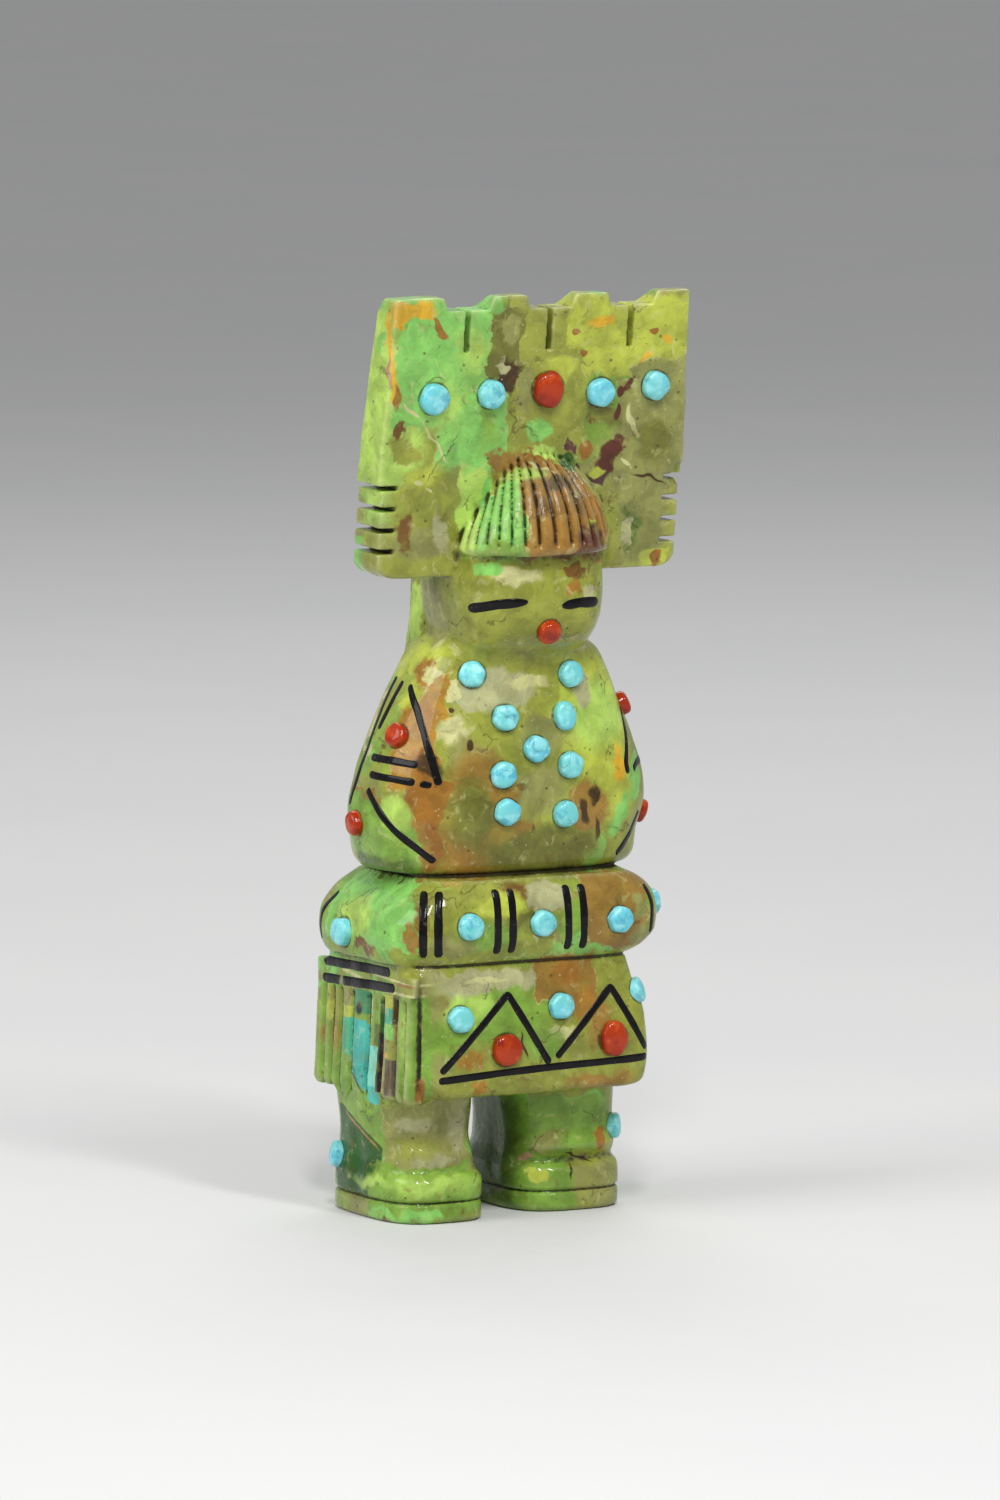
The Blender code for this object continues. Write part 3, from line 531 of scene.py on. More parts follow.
# The same in the sash's fringe, noted on an enlarged crop: colour, shape, left, right, top and bottom of it
# in the crop, degrees turned clockwise and softness of the edge
FRINGE_CORNER = (305, 960)
FRINGE_ZOOM = 8.667
FRINGE_FACE = -12.1
FRINGE_PATCHES = """
leaf bar 60 340 230 1190 0 .05
olive bar 100 225 230 500 0 .1
lime bar 105 160 360 520 0 .3
rust streak 70 110 560 720 0 .6
tan streak 150 235 480 800 0 .6
umber streak 225 255 230 560 0 .4
lime bar 258 332 390 500 0 .15
khaki bar 258 332 235 390 0 .15
leaf bar 375 470 1000 1190 0 .1
lime streak 385 450 1080 1190 0 .4
teal bar 262 336 492 820 0 .04
turquoise bar 366 470 510 1090 0 .03
turquoise bar 470 505 560 1130 0 .05
teal bar 330 372 500 900 0 .06
cyan bar 508 580 735 1150 0 .05
turquoise bar 490 590 1080 1235 0 .1
jade bar 366 485 250 455 0 .06
black streak 380 440 350 480 -60 .3
pink bar 338 358 225 490 0 .2
tan bar 478 512 320 620 0 .12
cream bar 512 522 330 560 0 .2
leaf bar 522 605 265 560 0 .06
moss bar 545 600 540 730 0 .15
forest bar 585 618 330 620 0 .1
teal bar 620 705 400 560 0 .08
green bar 630 712 540 690 0 .08
lime bar 612 700 285 400 0 .15
olive bar 640 745 680 850 0 .1
ochre streak 640 680 780 840 0 .3
umber bar 700 750 300 560 0 .3
tan bar 710 752 560 680 0 .3
black bar 580 632 620 1135 0 .04
pink bar 630 640 640 1160 0 .2
slate bar 652 760 850 1165 0 .06
slate bar 720 825 900 1150 0 .1
grey streak 740 765 980 1090 0 .5
umber streak 660 700 900 1100 0 .6
leaf bar 755 935 310 1190 0 .08
apple streak 770 800 400 900 0 .7
apple streak 880 925 330 1100 0 .5
umber streak 795 810 480 620 0 .4
cream bar 600 930 272 296 0 .3
cream bar 250 420 95 130 -8 .3
cream bar 520 930 160 182 -3 .3
tan bar 720 940 200 228 0 .3
khaki streak 232 262 60 225 0 .3
"""
Patch = namedtuple("Patch", "colour shape middle bearing across up tilt edge")
SASH_EDGE_PATCHES = (
    Patch("leaf", "bar", Vector((FRINGE_FACE, 1.6, 9.6)), -90, 1.0, 3.0, -51, 0.04),
    # This dark streak down the sash's seam is painted shade.
    Patch("shade_and_soot", "streak", Vector((-11.2, -7.8, 13.6)), -45, 0.2, 4.4, 1, 0.3),
    Patch("rust", "bar", Vector((-10.8, -7.8, 10.2)), -20, 0.34, 0.9, 0, 0.2),
    Patch("black", "bar", Vector((FRINGE_FACE, 0.72, 10.05)), -90, 0.08, 1.2, -52, 0.2),
)
BEARING_STEP = 15  # a patch faces a whole number of these degrees
LEAST_BEARING = -90
MOST_BEARING = 60
SQUARE_SHAPES = ("block", "bar")
STILL_SHAPES = ("bar", "streak")
LEAST_SHOWN = 0.412  # of a patch's width, where the stone turns away
# Patches with a tan seam round them, where the others have a cream one
TAN_SEAMS = ("lime", "fern", "leaf", "moss", "rust", "grey")

BLUE_SHARE = 0.76  # of the stone's brightness, which leaves it a warm green

# The photograph and its camera
PHOTO_WIDTH = 1000
PHOTO_HEIGHT = 1500
CAMERA_TARGET = Vector((0.0, 0.0, 34.4))
CAMERA_TURN = math.radians(28.0)
CAMERA_RISE = math.radians(6.3)
CAMERA_DISTANCE = 824.0
CAMERA_LENS = 264.0
CAMERA_SENSOR = 36.0
FOCAL_PIXELS = CAMERA_LENS / CAMERA_SENSOR * PHOTO_HEIGHT
PIXELS_PER_MM = FOCAL_PIXELS / CAMERA_DISTANCE
UPRIGHT_PIXELS_PER_MM = 13.3  # fewer, because the camera looks down a little
CAMERA_RIGHT = Vector((math.cos(CAMERA_TURN), -math.sin(CAMERA_TURN), 0.0))
CAMERA_LEVEL = math.cos(CAMERA_RISE)
CAMERA_BACK = Vector(
    (-math.sin(CAMERA_TURN) * CAMERA_LEVEL, -math.cos(CAMERA_TURN) * CAMERA_LEVEL, math.sin(CAMERA_RISE))
)
CAMERA_UP = CAMERA_BACK.cross(CAMERA_RIGHT)


# Stone


def resample(stations, count):
    """Smooth rows through the stations, with no overshoot between them. The first column grows."""
    table = np.array(stations, float)
    t, values = table[:, 0], table[:, 1:]
    step = np.diff(t)[:, None]
    slope = np.diff(values, axis=0) / step
    tangent = np.zeros_like(values)
    tangent[1:-1] = np.where(
        slope[:-1] * slope[1:] > 0, 2 * slope[:-1] * slope[1:] / (slope[:-1] + slope[1:] + 1e-12), 0
    )
    tangent[0], tangent[-1] = slope[0], slope[-1]
    where = np.linspace(t[0], t[-1], count)
    where = np.unique(np.concatenate([where, t]))
    i = np.clip(np.searchsorted(t, where, side="right") - 1, 0, len(t) - 2)
    h = step[i]
    s = ((where - t[i]) / h[:, 0])[:, None]
    out = (
        (2 * s**3 - 3 * s**2 + 1) * values[i]
        + (s**3 - 2 * s**2 + s) * h * tangent[i]
        + (3 * s**2 - 2 * s**3) * values[i + 1]
        + (s**3 - s**2) * h * tangent[i + 1]
    )
    return np.column_stack([where, out])


def superellipse(axis_x, axis_y, half_x, half_y, squareness, z):
    angle = np.arange(RING) * 2 * math.pi / RING
    c, s = np.cos(angle), np.sin(angle)
    x = axis_x + half_x * np.sign(c) * np.abs(c) ** (2 / squareness)
    y = axis_y + half_y * np.sign(s) * np.abs(s) ** (2 / squareness)
    return np.column_stack([x, y, np.full(RING, z)])


def block_ring(left, right, front, back, radius, steps=6):
    """Rounded rectangle in plan, counter-clockwise from its right front corner."""
    corners = (
        (right - radius, front + radius, -90),
        (right - radius, back - radius, 0),
        (left + radius, back - radius, 90),
        (left + radius, front + radius, 180),
    )
    ring = []
    for x, y, start in corners:
        for i in range(steps + 1):
            turn = math.radians(start + 90 * i / steps)
            ring.append((x + radius * math.cos(turn), y + radius * math.sin(turn)))
    return np.array(ring)


class Field:
    """Grid of signed distances in mm, negative inside the stone."""

    def __init__(self):
        self.size = np.ceil((HIGH - LOW) / VOXEL).astype(int) + 1
        self.first = np.floor(LOW / VOXEL).astype(int)
        spans = zip(self.first, self.size)
        steps = [((first + np.arange(n)) * VOXEL).astype(np.float32) for first, n in spans]
        self.x, self.y, self.z = steps[0][:, None, None], steps[1][None, :, None], steps[2][None, None, :]

    def solid(self, rings):
        """Distances to a closed skin through rings of equal counts."""
        rings = np.array(rings)
        levels, count = rings.shape[:2]
        points = np.concatenate([rings.reshape(-1, 3), rings[:1].mean(axis=1), rings[-1:].mean(axis=1)])
        i = np.arange(count)
        j = (i + 1) % count
        last = (levels - 1) * count
        belt = np.column_stack([i, j, count + j, count + i])
        quads = [low + belt for low in range(0, last, count)]
        foot = np.full(count, levels * count)
        ends = [np.column_stack([foot, j, i]), np.column_stack([foot + 1, last + i, last + j])]
        grid = openvdb.FloatGrid.createLevelSetFromPolygons(
            points.astype(np.float32),
            triangles=np.concatenate(ends).astype(np.uint32),
            quads=np.concatenate(quads).astype(np.uint32),
            transform=openvdb.createLinearTransform(voxelSize=VOXEL),
            halfWidth=BAND,
        )
        out = np.empty(self.size, np.float32)
        grid.copyToArray(out, ijk=tuple(int(n) for n in self.first))
        return out

    def mesh(self, distance):
        grid = openvdb.FloatGrid(BAND * VOXEL)
        grid.transform = openvdb.createLinearTransform(voxelSize=VOXEL)
        grid.copyFromArray(distance, ijk=tuple(int(n) for n in self.first), tolerance=0.0)
        return grid.convertToQuads(isovalue=0.0)


def join(a, b, soft):
    """Union with a fillet of that size."""
    if soft <= 0:
        return np.minimum(a, b)
    h = np.clip(0.5 + 0.5 * (b - a) / soft, 0, 1)
    return b + (a - b) * h - soft * h * (1 - h)


def cut(a, b, soft=0.08):
    return -join(-a, b, soft)


def blurred(values, passes):
    """Small rounding of every edge: each pass averages neighbours along the three axes."""
    for _ in range(passes):
        for axis in range(3):
            moved = values.copy()
            along = np.moveaxis(values, axis, 0)
            np.moveaxis(moved, axis, 0)[1:-1] = 0.5 * along[1:-1] + 0.25 * (along[:-2] + along[2:])
            values = moved
    return values


def band_rings(stations, right, left, depth, squareness, base, height):
    """Rings of a band. Its stations are a share of its height and how far each side draws in there."""
    rings = []
    for share, right_in, left_in, depth_in in resample(stations, 40):
        start, end = right + right_in, left - left_in
        half_depth = depth - depth_in
        level = base + height * share
        rings.append(superellipse((end + start) / 2, 0.0, (end - start) / 2, half_depth, squareness, level))
    return rings


def body_rings():
    kilt = (
        (0.0, 0.7, 1.3, 0.7),
        (0.03, 0.25, 0.6, 0.25),
        (0.07, 0.08, 0.3, 0.08),
        (0.3, 0.0, 0.0, 0.0),
        (0.55, 0.0, 0.25, 0.1),
        (0.78, 0.0, 1.0, 0.4),
        (1.0, 0.2, 1.6, 0.8),
    )
    belt = (
        (0.03, 0.3, 2.1, 0.8),
        (0.12, 0.15, 1.1, 0.4),
        (0.3, 0.05, 0.15, 0.0),
        (0.5, 0.25, 0.0, 0.0),
        (0.66, 0.9, 0.2, 0.12),
        (0.78, 1.65, 0.65, 0.35),
        (0.88, 2.6, 1.4, 0.75),
        (0.965, 3.4, 2.5, 1.2),
    )
    torso = (
        (0.0, 0.87, 0.89, -0.45, 3.0),
        (0.045, 0.925, 0.945, -0.4, 2.9),
        (0.14, 0.960, 0.985, -0.45, 2.7),
        (0.27, 1.0, 1.0, -0.15, 2.6),
        (0.42, 0.965, 0.99, 0.05, 2.6),
        (0.57, 0.887, 0.96, 0.05, 2.6),
        (0.74, 0.783, 0.90, 0.15, 2.5),
        (0.87, 0.695, 0.86, 0.35, 2.4),
        (0.95, 0.63, 0.80, 0.35, 2.4),
        (1.0, 0.56, 0.70, 0.2, 2.4),
        (1.05, 0.44, 0.52, 0.1, 2.4),
    )
    kilt_ends = (-KILT_RIGHT_REACH, KILT_LEFT_REACH)
    rings = band_rings(kilt, *kilt_ends, KILT_HALF_DEPTH, KILT_SQUARENESS, HEM_Z, KILT_HEIGHT)
    belt_ends = (BELT_AXIS - BELT_HALF_WIDTH, BELT_AXIS + BELT_HALF_WIDTH)
    rings += band_rings(belt, *belt_ends, BELT_HALF_DEPTH, BELT_SQUARENESS, KILT_TOP_Z, BELT_HEIGHT)
    for share, width, depth, shift, squareness in resample(torso, 80):
        half = (TORSO_HALF_WIDTH * width, TORSO_HALF_DEPTH * depth)
        level = BELT_TOP_Z + TORSO_HEIGHT * share
        rings.append(superellipse(TORSO_AXIS + shift, TORSO_SET_BACK, *half, squareness, level))
    return rings


def head_rings():
    stations = (
        (-0.32, 0.80, 0.45, 1.0),
        (-0.12, 0.83, 0.64, 1.0),
        (0.02, 0.87, 0.82, 1.0),
        (0.16, 0.92, 0.93, 1.0),
        (0.36, 0.97, 0.99, 1.0),
        (0.62, 1.0, 1.0, 1.0),
        (0.9, 0.99, 0.985, 1.0),
        (1.15, 0.95, 0.94, 1.0),
    )
    rings = []
    for share, width, front, back in resample(stations, 40):
        forward = FACE_SET_FORWARD + FACE_HALF_DEPTH * (front - back) / 2
        depth = FACE_HALF_DEPTH * (front + back) / 2
        level = NECK_Z + FACE_HEIGHT * share
        rings.append(superellipse(0.0, -forward, FACE_HALF_WIDTH * width, depth, FACE_SQUARENESS, level))
    return rings


def hair_rings():
    rings = []
    for share in (0.0, 0.02, 0.05, 0.1, 0.2, 0.35, 0.5, 0.6, 0.7, 0.8, 0.87, 0.94, 0.975, 0.995):
        size = math.sqrt(1 - share**2) * (FRINGE_TUCK + (1 - FRINGE_TUCK) * min(1.0, share / 0.06))
        half = (HAIR_HALF_WIDTH * size, HAIR_HALF_DEPTH * size)
        level = FRINGE_Z + HAIR_HEIGHT * share
        rings.append(superellipse(HAIR_AXIS, -HAIR_SET_FORWARD, *half, HAIR_SQUARENESS, level))
    return rings


def hair_fall_rings():
    rings = []
    for share, width in resample(((-0.35, 1.09), (-0.05, 1.07), (0.5, 1.0), (1.15, 0.98)), 20):
        half = HAIR_FALL_HALF_WIDTH * width
        plan = block_ring(-half, half, HAIR_FALL_FRONT, HAIR_FALL_BACK, 0.5)
        rings.append(np.column_stack([plan, np.full(len(plan), NECK_Z + FACE_HEIGHT * share)]))
    return rings


def tablet_up(y, z):
    """How far up the tablet's slanted face a point is."""
    lean = math.cos(TABLET_LEAN) + math.sin(TABLET_LEAN) * math.tan(TABLET_END_TILT)
    return (z - TABLET_Z - (y - TABLET_FRONT) * math.tan(TABLET_END_TILT)) / lean


def tablet_rings():
    low_half = TABLET_HALF_WIDTH - SIDE_INSET
    step = SIDE_SLOT_LOWEST + (SIDE_SLOT_COUNT - 1) * SIDE_SLOT_PITCH
    widths = []
    for i in range(9):
        turn = math.radians(90 * i / 8)
        half = low_half - TABLET_CORNER * (1 - math.sin(turn))
        widths.append((TABLET_CORNER_RISE * (1 - math.cos(turn)), half))
    widths += [(step - 0.1, low_half), (step + 0.1, TABLET_HALF_WIDTH)]
    for i in range(1, 13):
        share = i / 12
        half = TABLET_HALF_WIDTH + (TABLET_TOP_HALF_WIDTH - TABLET_HALF_WIDTH) * share
        widths.append((step + 0.1 + (TABLET_HEIGHT - step - 0.1) * share, half))
    rings = []
    for up, half in widths:
        thick = TABLET_LOW_THICKNESS + (TABLET_TOP_THICKNESS - TABLET_LOW_THICKNESS) * up / TABLET_HEIGHT
        thick -= TABLET_BEVEL_SLOPE * max(0.0, up - TABLET_HEIGHT + TABLET_BACK_BEVEL)
        plan = block_ring(-half, half, 0.0, thick, TABLET_EDGE)
        y = TABLET_FRONT - up * math.sin(TABLET_LEAN) + plan[:, 1]
        z = TABLET_Z + up * math.cos(TABLET_LEAN) + plan[:, 1] * math.tan(TABLET_END_TILT)
        rings.append(np.column_stack([plan[:, 0], y, z]))
    return rings


def sash_rings():
    outer = -KILT_RIGHT_REACH - SASH_PROUD
    inner = outer + SASH_THICKNESS
    foot = HEM_Z - SASH_HANG
    ledge = FRINGE_TOP_Z + SASH_KNOT_HEIGHT
    full, inside = SASH_HALF_DEPTH, SASH_HALF_DEPTH - SASH_NARROWING
    stations = (
        (foot, -SASH_CORNER, SASH_CORNER, full),
        (foot + SASH_FOOT_ROUND, 0.0, SASH_CORNER, full),
        (FRINGE_TOP_Z - FLUTE_DEPTH, -SASH_FLARE, SASH_CORNER, full),
        (FRINGE_TOP_Z, -SASH_FLARE, SASH_CORNER, full),
        (ledge, -SASH_FLARE, SASH_CORNER, full),
        (ledge + SASH_LEDGE, -SASH_FLARE, SASH_ROUND, inside),
        (KILT_TOP_Z + SASH_KNOT_RISE, -SASH_FLARE, SASH_ROUND, inside),
    )
    rings = []
    for z, proud, corner, half in stations:
        face = outer - proud
        side = face + SASH_CORNER_REACH * corner
        plan = [(inner, half - SASH_SLANT)]
        for i in range(9):
            turn = math.radians(90 * i / 8)
            plan.append((side - (side - face) * math.sin(turn), half - corner * (1 - math.cos(turn))))
        for i in range(9):
            turn = math.radians(90 * i / 8)
            plan.append((face + (side - face) * (1 - math.cos(turn)), -half + corner * (1 - math.sin(turn))))
        plan.append((inner, SASH_SLANT - half))
        plan = np.array(plan)
        rings.append(np.column_stack([plan, np.full(len(plan), z)]))
    return rings


def leg_rings(side):
    half = LEFT_LEG_HALF_WIDTH if side > 0 else RIGHT_LEG_HALF_WIDTH
    axis = LEG_GAP_AXIS + side * (LEG_GAP / 2 + half)
    shin = LEG_SET_BACK - LEG_HALF_DEPTH
    heel = LEG_SET_BACK + LEG_HALF_DEPTH
    toe = heel - FOOT_LENGTH + (LEFT_FOOT_SETBACK if side > 0 else 0.0)
    ankle, knee = FOOT_HEIGHT + (HEM_Z - FOOT_HEIGHT) * 0.2, FOOT_HEIGHT + (HEM_Z - FOOT_HEIGHT) * 0.45
    stations = resample(
        (
            (0.0, 1.00, toe + 0.35, heel - 0.35),
            (0.3, 1.06, toe, heel),
            (FOOT_HEIGHT - 0.9, 1.08, toe + 0.05, heel),
            (FOOT_HEIGHT - 0.4, 1.07, toe + 0.3, heel),
            (FOOT_HEIGHT, 1.03, toe + 0.9, heel - 0.1),
            (ankle, 0.99, toe + (shin - toe) * 0.75, heel - 0.3),
            (knee, 0.97, shin + 0.2, heel - 0.3),
            (HEM_Z, 1.0, shin, heel),
            (HEM_Z + KILT_HEIGHT * 0.15, 1.0, shin, heel),
        ),
        48,
    )
    return [
        superellipse(axis, (front + back) / 2, half * width, (back - front) / 2, LEG_SQUARENESS, z)
        for z, width, front, back in stations
    ]


def strands(phase):
    """Narrow groove at each whole number of phase, with softly rounded locks between: depths from 0 to 1."""
    near = np.abs(phase - np.round(phase)) * 2
    return (0.8 * (1 - near) ** 4 + 0.2 * (1 - near) ** 2).astype(np.float32)


def hand_work(f):
    """Shallow unevenness that a file leaves, always inward and none at the soles."""
    rng = np.random.default_rng(3)
    depth = np.full(f.size, FILED_DEPTH, np.float32)
    for _ in range(8):
        way = rng.normal(size=3)
        way *= 2 * math.pi / rng.uniform(2.2, 6.5) / np.linalg.norm(way)
        along = f.x * way[0] + f.y * way[1] + f.z * way[2]
        depth += (FILED_WAVE * np.sin(along + rng.uniform(0, 2 * math.pi))).astype(np.float32)
    return np.clip(depth, 0, None) * np.clip(f.z / 0.8 - 0.4, 0, 1)


def hair_grooves(f):
    """Depths of the grooves between strands, which fan from the crown and stop above the hem."""
    x, y = f.x - HAIR_AXIS, f.y + HAIR_SET_FORWARD
    u = np.abs(x / HAIR_HALF_WIDTH) ** (HAIR_SQUARENESS / 2) * np.sign(x)
    v = np.abs(y / HAIR_HALF_DEPTH) ** (HAIR_SQUARENESS / 2) * np.sign(y)
    crown = np.clip(np.hypot(x, y) / CROWN_RADIUS, 0, 1)
    tips = np.clip((f.z - FRINGE_Z - HAIR_HEM) / 0.5, 0, 1)
    crown = crown * np.clip(FRINGE_Z + HAIR_HEIGHT - CROWN_BARE - f.z, 0, 1)
    return STRAND_DEPTH * crown * tips * strands(np.arctan2(v, u) * STRAND_COUNT / (2 * math.pi) + 0.5)


def fall_grooves(f):
    """The same for the short fall of hair behind."""
    phase = (f.x + HAIR_FALL_HALF_WIDTH) / (2 * HAIR_FALL_HALF_WIDTH) * FALL_STRAND_COUNT
    return FALL_STRAND_DEPTH * strands(phase) * (f.y > HAIR_FALL_BACK - 0.8)


def flutes(f):
    """Depths of the fringe's flutes, on the sash's outer side."""
    fade = np.clip((FRINGE_TOP_Z - f.z) / 0.3, 0, 1) * (f.x < -KILT_RIGHT_REACH + 0.4)
    nearest = np.min([np.abs(f.y - place) for place in FLUTE_PLACES], axis=0)
    return FLUTE_DEPTH * fade * np.clip(1 - nearest / FLUTE_HALF_WIDTH, 0, 1).astype(np.float32)


def groove(f, level, depth, half):
    """Depths of a level groove with slanting sides."""
    return (depth * np.clip(1 - np.abs(f.z - level) / half, 0, 1)).astype(np.float32)


def cut_tablet(f, stone):
    """Notches with a sawn slot under each, then the slots in the sides."""
    up = tablet_up(f.y, f.z)
    behind = np.clip((f.y - TABLET_FRONT + up * math.sin(TABLET_LEAN)) / TABLET_TOP_THICKNESS, 0, 1)
    first = NOTCH_CENTRE - NOTCH_PITCH * (NOTCH_COUNT - 1) / 2
    floor = TABLET_HEIGHT - NOTCH_DEPTH
    flare = NOTCH_FLARE / NOTCH_DEPTH
    for n in range(NOTCH_COUNT):
        across = f.x - first - n * NOTCH_PITCH
        right = (-across - NOTCH_WIDTH / 2 - (up - floor) * flare) / math.hypot(1, flare)
        slant = flare + NOTCH_SLANT * behind
        left = (across - NOTCH_WIDTH / 2 - (up - floor) * slant) / (1 + 0.3 * behind)
        notch = np.maximum(np.maximum(right, left), floor - up)
        slot = np.maximum(np.abs(across) - SAW_SLOT_WIDTH / 2, floor - SAW_SLOT_DEPTH - up)
        stone = cut(stone, np.minimum(notch, slot).astype(np.float32))
    low_half = TABLET_HALF_WIDTH - SIDE_INSET
    for n in range(SIDE_SLOT_COUNT):
        level = SIDE_SLOT_LOWEST + n * SIDE_SLOT_PITCH
        slot = np.maximum(np.abs(up - level) - SIDE_SLOT_HEIGHT / 2, low_half - SIDE_SLOT_DEPTH - np.abs(f.x))
        stone = cut(stone, slot.astype(np.float32))
    return stone


def carved_stone():
    """Distances to the whole carved stone."""
    f = Field()
    x, y, z = f.x, f.y, f.z
    hair, sash, fall = f.solid(hair_rings()), f.solid(sash_rings()), f.solid(hair_fall_rings())
    trim = HAIR_TRIM_WAY[0] * (x + HAIR_TRIM_REACH) - HAIR_TRIM_WAY[1] * (z - FRINGE_Z)
    hair = cut(hair, trim.astype(np.float32), HAIR_TRIM_SOFT)
    stone = join(f.solid(body_rings()), f.solid(head_rings()), NECK_FILLET)
    parts = (
        (f.solid(tablet_rings()), TABLET_FILLET),
        (hair, HAIR_FILLET),
        (fall, TABLET_FILLET),
        (sash, LIMB_FILLET),
        (f.solid(leg_rings(-1)), LIMB_FILLET),
        (f.solid(leg_rings(1)), LIMB_FILLET),
    )
    for part, soft in parts:
        stone = join(stone, part, soft)
    stone = blurred(stone.astype(np.float32), 1)

    def share_of(part):
        return np.clip(1 - (part - stone) / CARVING_REACH, 0, 1)

    stone += share_of(hair) * hair_grooves(f) + share_of(fall) * fall_grooves(f) + share_of(sash) * flutes(f)
    stone += groove(f, BELT_TOP_Z - 0.05, WAIST_GROOVE, WAIST_GROOVE_HALF)
    stone += groove(f, SOLE_THICKNESS, SOLE_GROOVE, SOLE_GROOVE_HALF)
    crease = KILT_CREASE * np.clip(1 - np.abs(z - KILT_TOP_Z - 0.1) / KILT_CREASE_HALF, 0, 1)
    stone += (crease * np.clip((x + KILT_RIGHT_REACH) / 0.5, 0, 1)).astype(np.float32)
    side = np.maximum(np.abs(x - SASH_SEAM) - SASH_SEAM_HALF, y + SASH_HALF_DEPTH - SASH_SEAM_DEPTH)
    stone = cut(stone, np.maximum(side, z - FRINGE_TOP_Z - 0.2).astype(np.float32))
    stone = cut_tablet(f, stone + hand_work(f))
    for (cx, cy, cz), (rx, ry, rz) in CHIPS:
        far = np.sqrt(((x - cx) / rx) ** 2 + ((y - cy) / ry) ** 2 + ((z - cz) / rz) ** 2)
        stone = cut(stone, ((far - 1) * min(rx, ry, rz)).astype(np.float32), 0.05)
    return f, stone


def sampled(f, values, points):
    """Values of the grid at points, in mm."""
    spot = points / VOXEL - f.first
    low = np.clip(np.floor(spot).astype(int), 0, f.size - 2)
    part = spot - low
    out = np.zeros(len(points))
    for i in (0, 1):
        for j in (0, 1):
            for k in (0, 1):
                weight = np.abs(1 - i - part[:, 0]) * np.abs(1 - j - part[:, 1]) * np.abs(1 - k - part[:, 2])
                out += weight * values[low[:, 0] + i, low[:, 1] + j, low[:, 2] + k]
    return out


def drop_crumbs(mesh):
    """Keeps only what hangs together with the highest point."""
    made = bmesh.new()
    made.from_mesh(mesh)
    edge = [max(made.verts, key=lambda v: v.co.z)]
    kept = set(edge)
    while edge:
        edge = {e.other_vert(v) for v in edge for e in v.link_edges} - kept
        kept |= edge
    bmesh.ops.delete(made, geom=[v for v in made.verts if v not in kept], context="VERTS")
    made.to_mesh(mesh)
    made.free()


def stone_object():
    f, distance = carved_stone()
    points, quads = f.mesh(distance)
    mesh = bpy.data.meshes.new("carved_stone")
    mesh.vertices.add(len(points))
    mesh.vertices.foreach_set("co", (points.astype(np.float64) * MM).ravel())
    mesh.loops.add(quads.size)
    mesh.loops.foreach_set("vertex_index", quads[:, ::-1].astype(np.int32).ravel())
    mesh.polygons.add(len(quads))
    mesh.polygons.foreach_set("loop_start", np.arange(0, quads.size, 4, dtype=np.int32))
    mesh.update(calc_edges=True)
    mesh.validate()
    stone = bpy.data.objects.new("carved_stone", mesh)
    bpy.context.scene.collection.objects.link(stone)
    thin = stone.modifiers.new("thin", "DECIMATE")
    thin.ratio = min(1.0, TRIANGLES / (2 * len(quads)))
    graph = bpy.context.evaluated_depsgraph_get()
    lighter = bpy.data.meshes.new_from_object(stone.evaluated_get(graph))
    stone.modifiers.clear()
    stone.data = lighter
    bpy.data.meshes.remove(mesh)
    lighter.name = "carved_stone"
    drop_crumbs(lighter)
    lighter.shade_smooth()
    places = np.empty(len(lighter.vertices) * 3)
    lighter.vertices.foreach_get("co", places)
    # How hollow the skin is: the material paints shade in hollows and a highlight on edges from it
    hollow = -sampled(f, blurred(distance, 8), places.reshape(-1, 3) / MM)
    lighter.attributes.new("hollow", "FLOAT", "POINT").data.foreach_set("value", hollow.astype(np.float32))
    return stone


# Inlays


class Zone:
    """A band of the figure, in which places are given as shares of its half width, half depth and height."""

    def __init__(self, centre, half_width, half_depth, base, height):
        self.centre = centre
        self.half_width = half_width
        self.half_depth = half_depth
        self.base = base
        self.height = height

    def place(self, bearing, across, up):
        half = abs(math.cos(bearing)) * self.half_width + abs(math.sin(bearing)) * self.half_depth
        return math.cos(bearing) * self.centre + across * half, self.base + up * self.height


LEGS = Zone(LEG_GAP_AXIS, LEG_GAP / 2 + LEFT_LEG_HALF_WIDTH * 2, LEG_HALF_DEPTH, 0.0, LEG_HEIGHT)
KILT = Zone(0.0, KILT_RIGHT_REACH, KILT_HALF_DEPTH, HEM_Z, KILT_HEIGHT)
BELT = Zone(BELT_AXIS, BELT_HALF_WIDTH, BELT_HALF_DEPTH, KILT_TOP_Z, BELT_HEIGHT)
TORSO = Zone(TORSO_AXIS, TORSO_HALF_WIDTH, TORSO_HALF_DEPTH, BELT_TOP_Z, TORSO_HEIGHT)
FACE = Zone(0.0, FACE_HALF_WIDTH, FACE_HALF_DEPTH, NECK_Z, FACE_HEIGHT)
TABLET = Zone(0.0, TABLET_HALF_WIDTH, TABLET_LOW_THICKNESS, TABLET_Z, TABLET_HEIGHT)


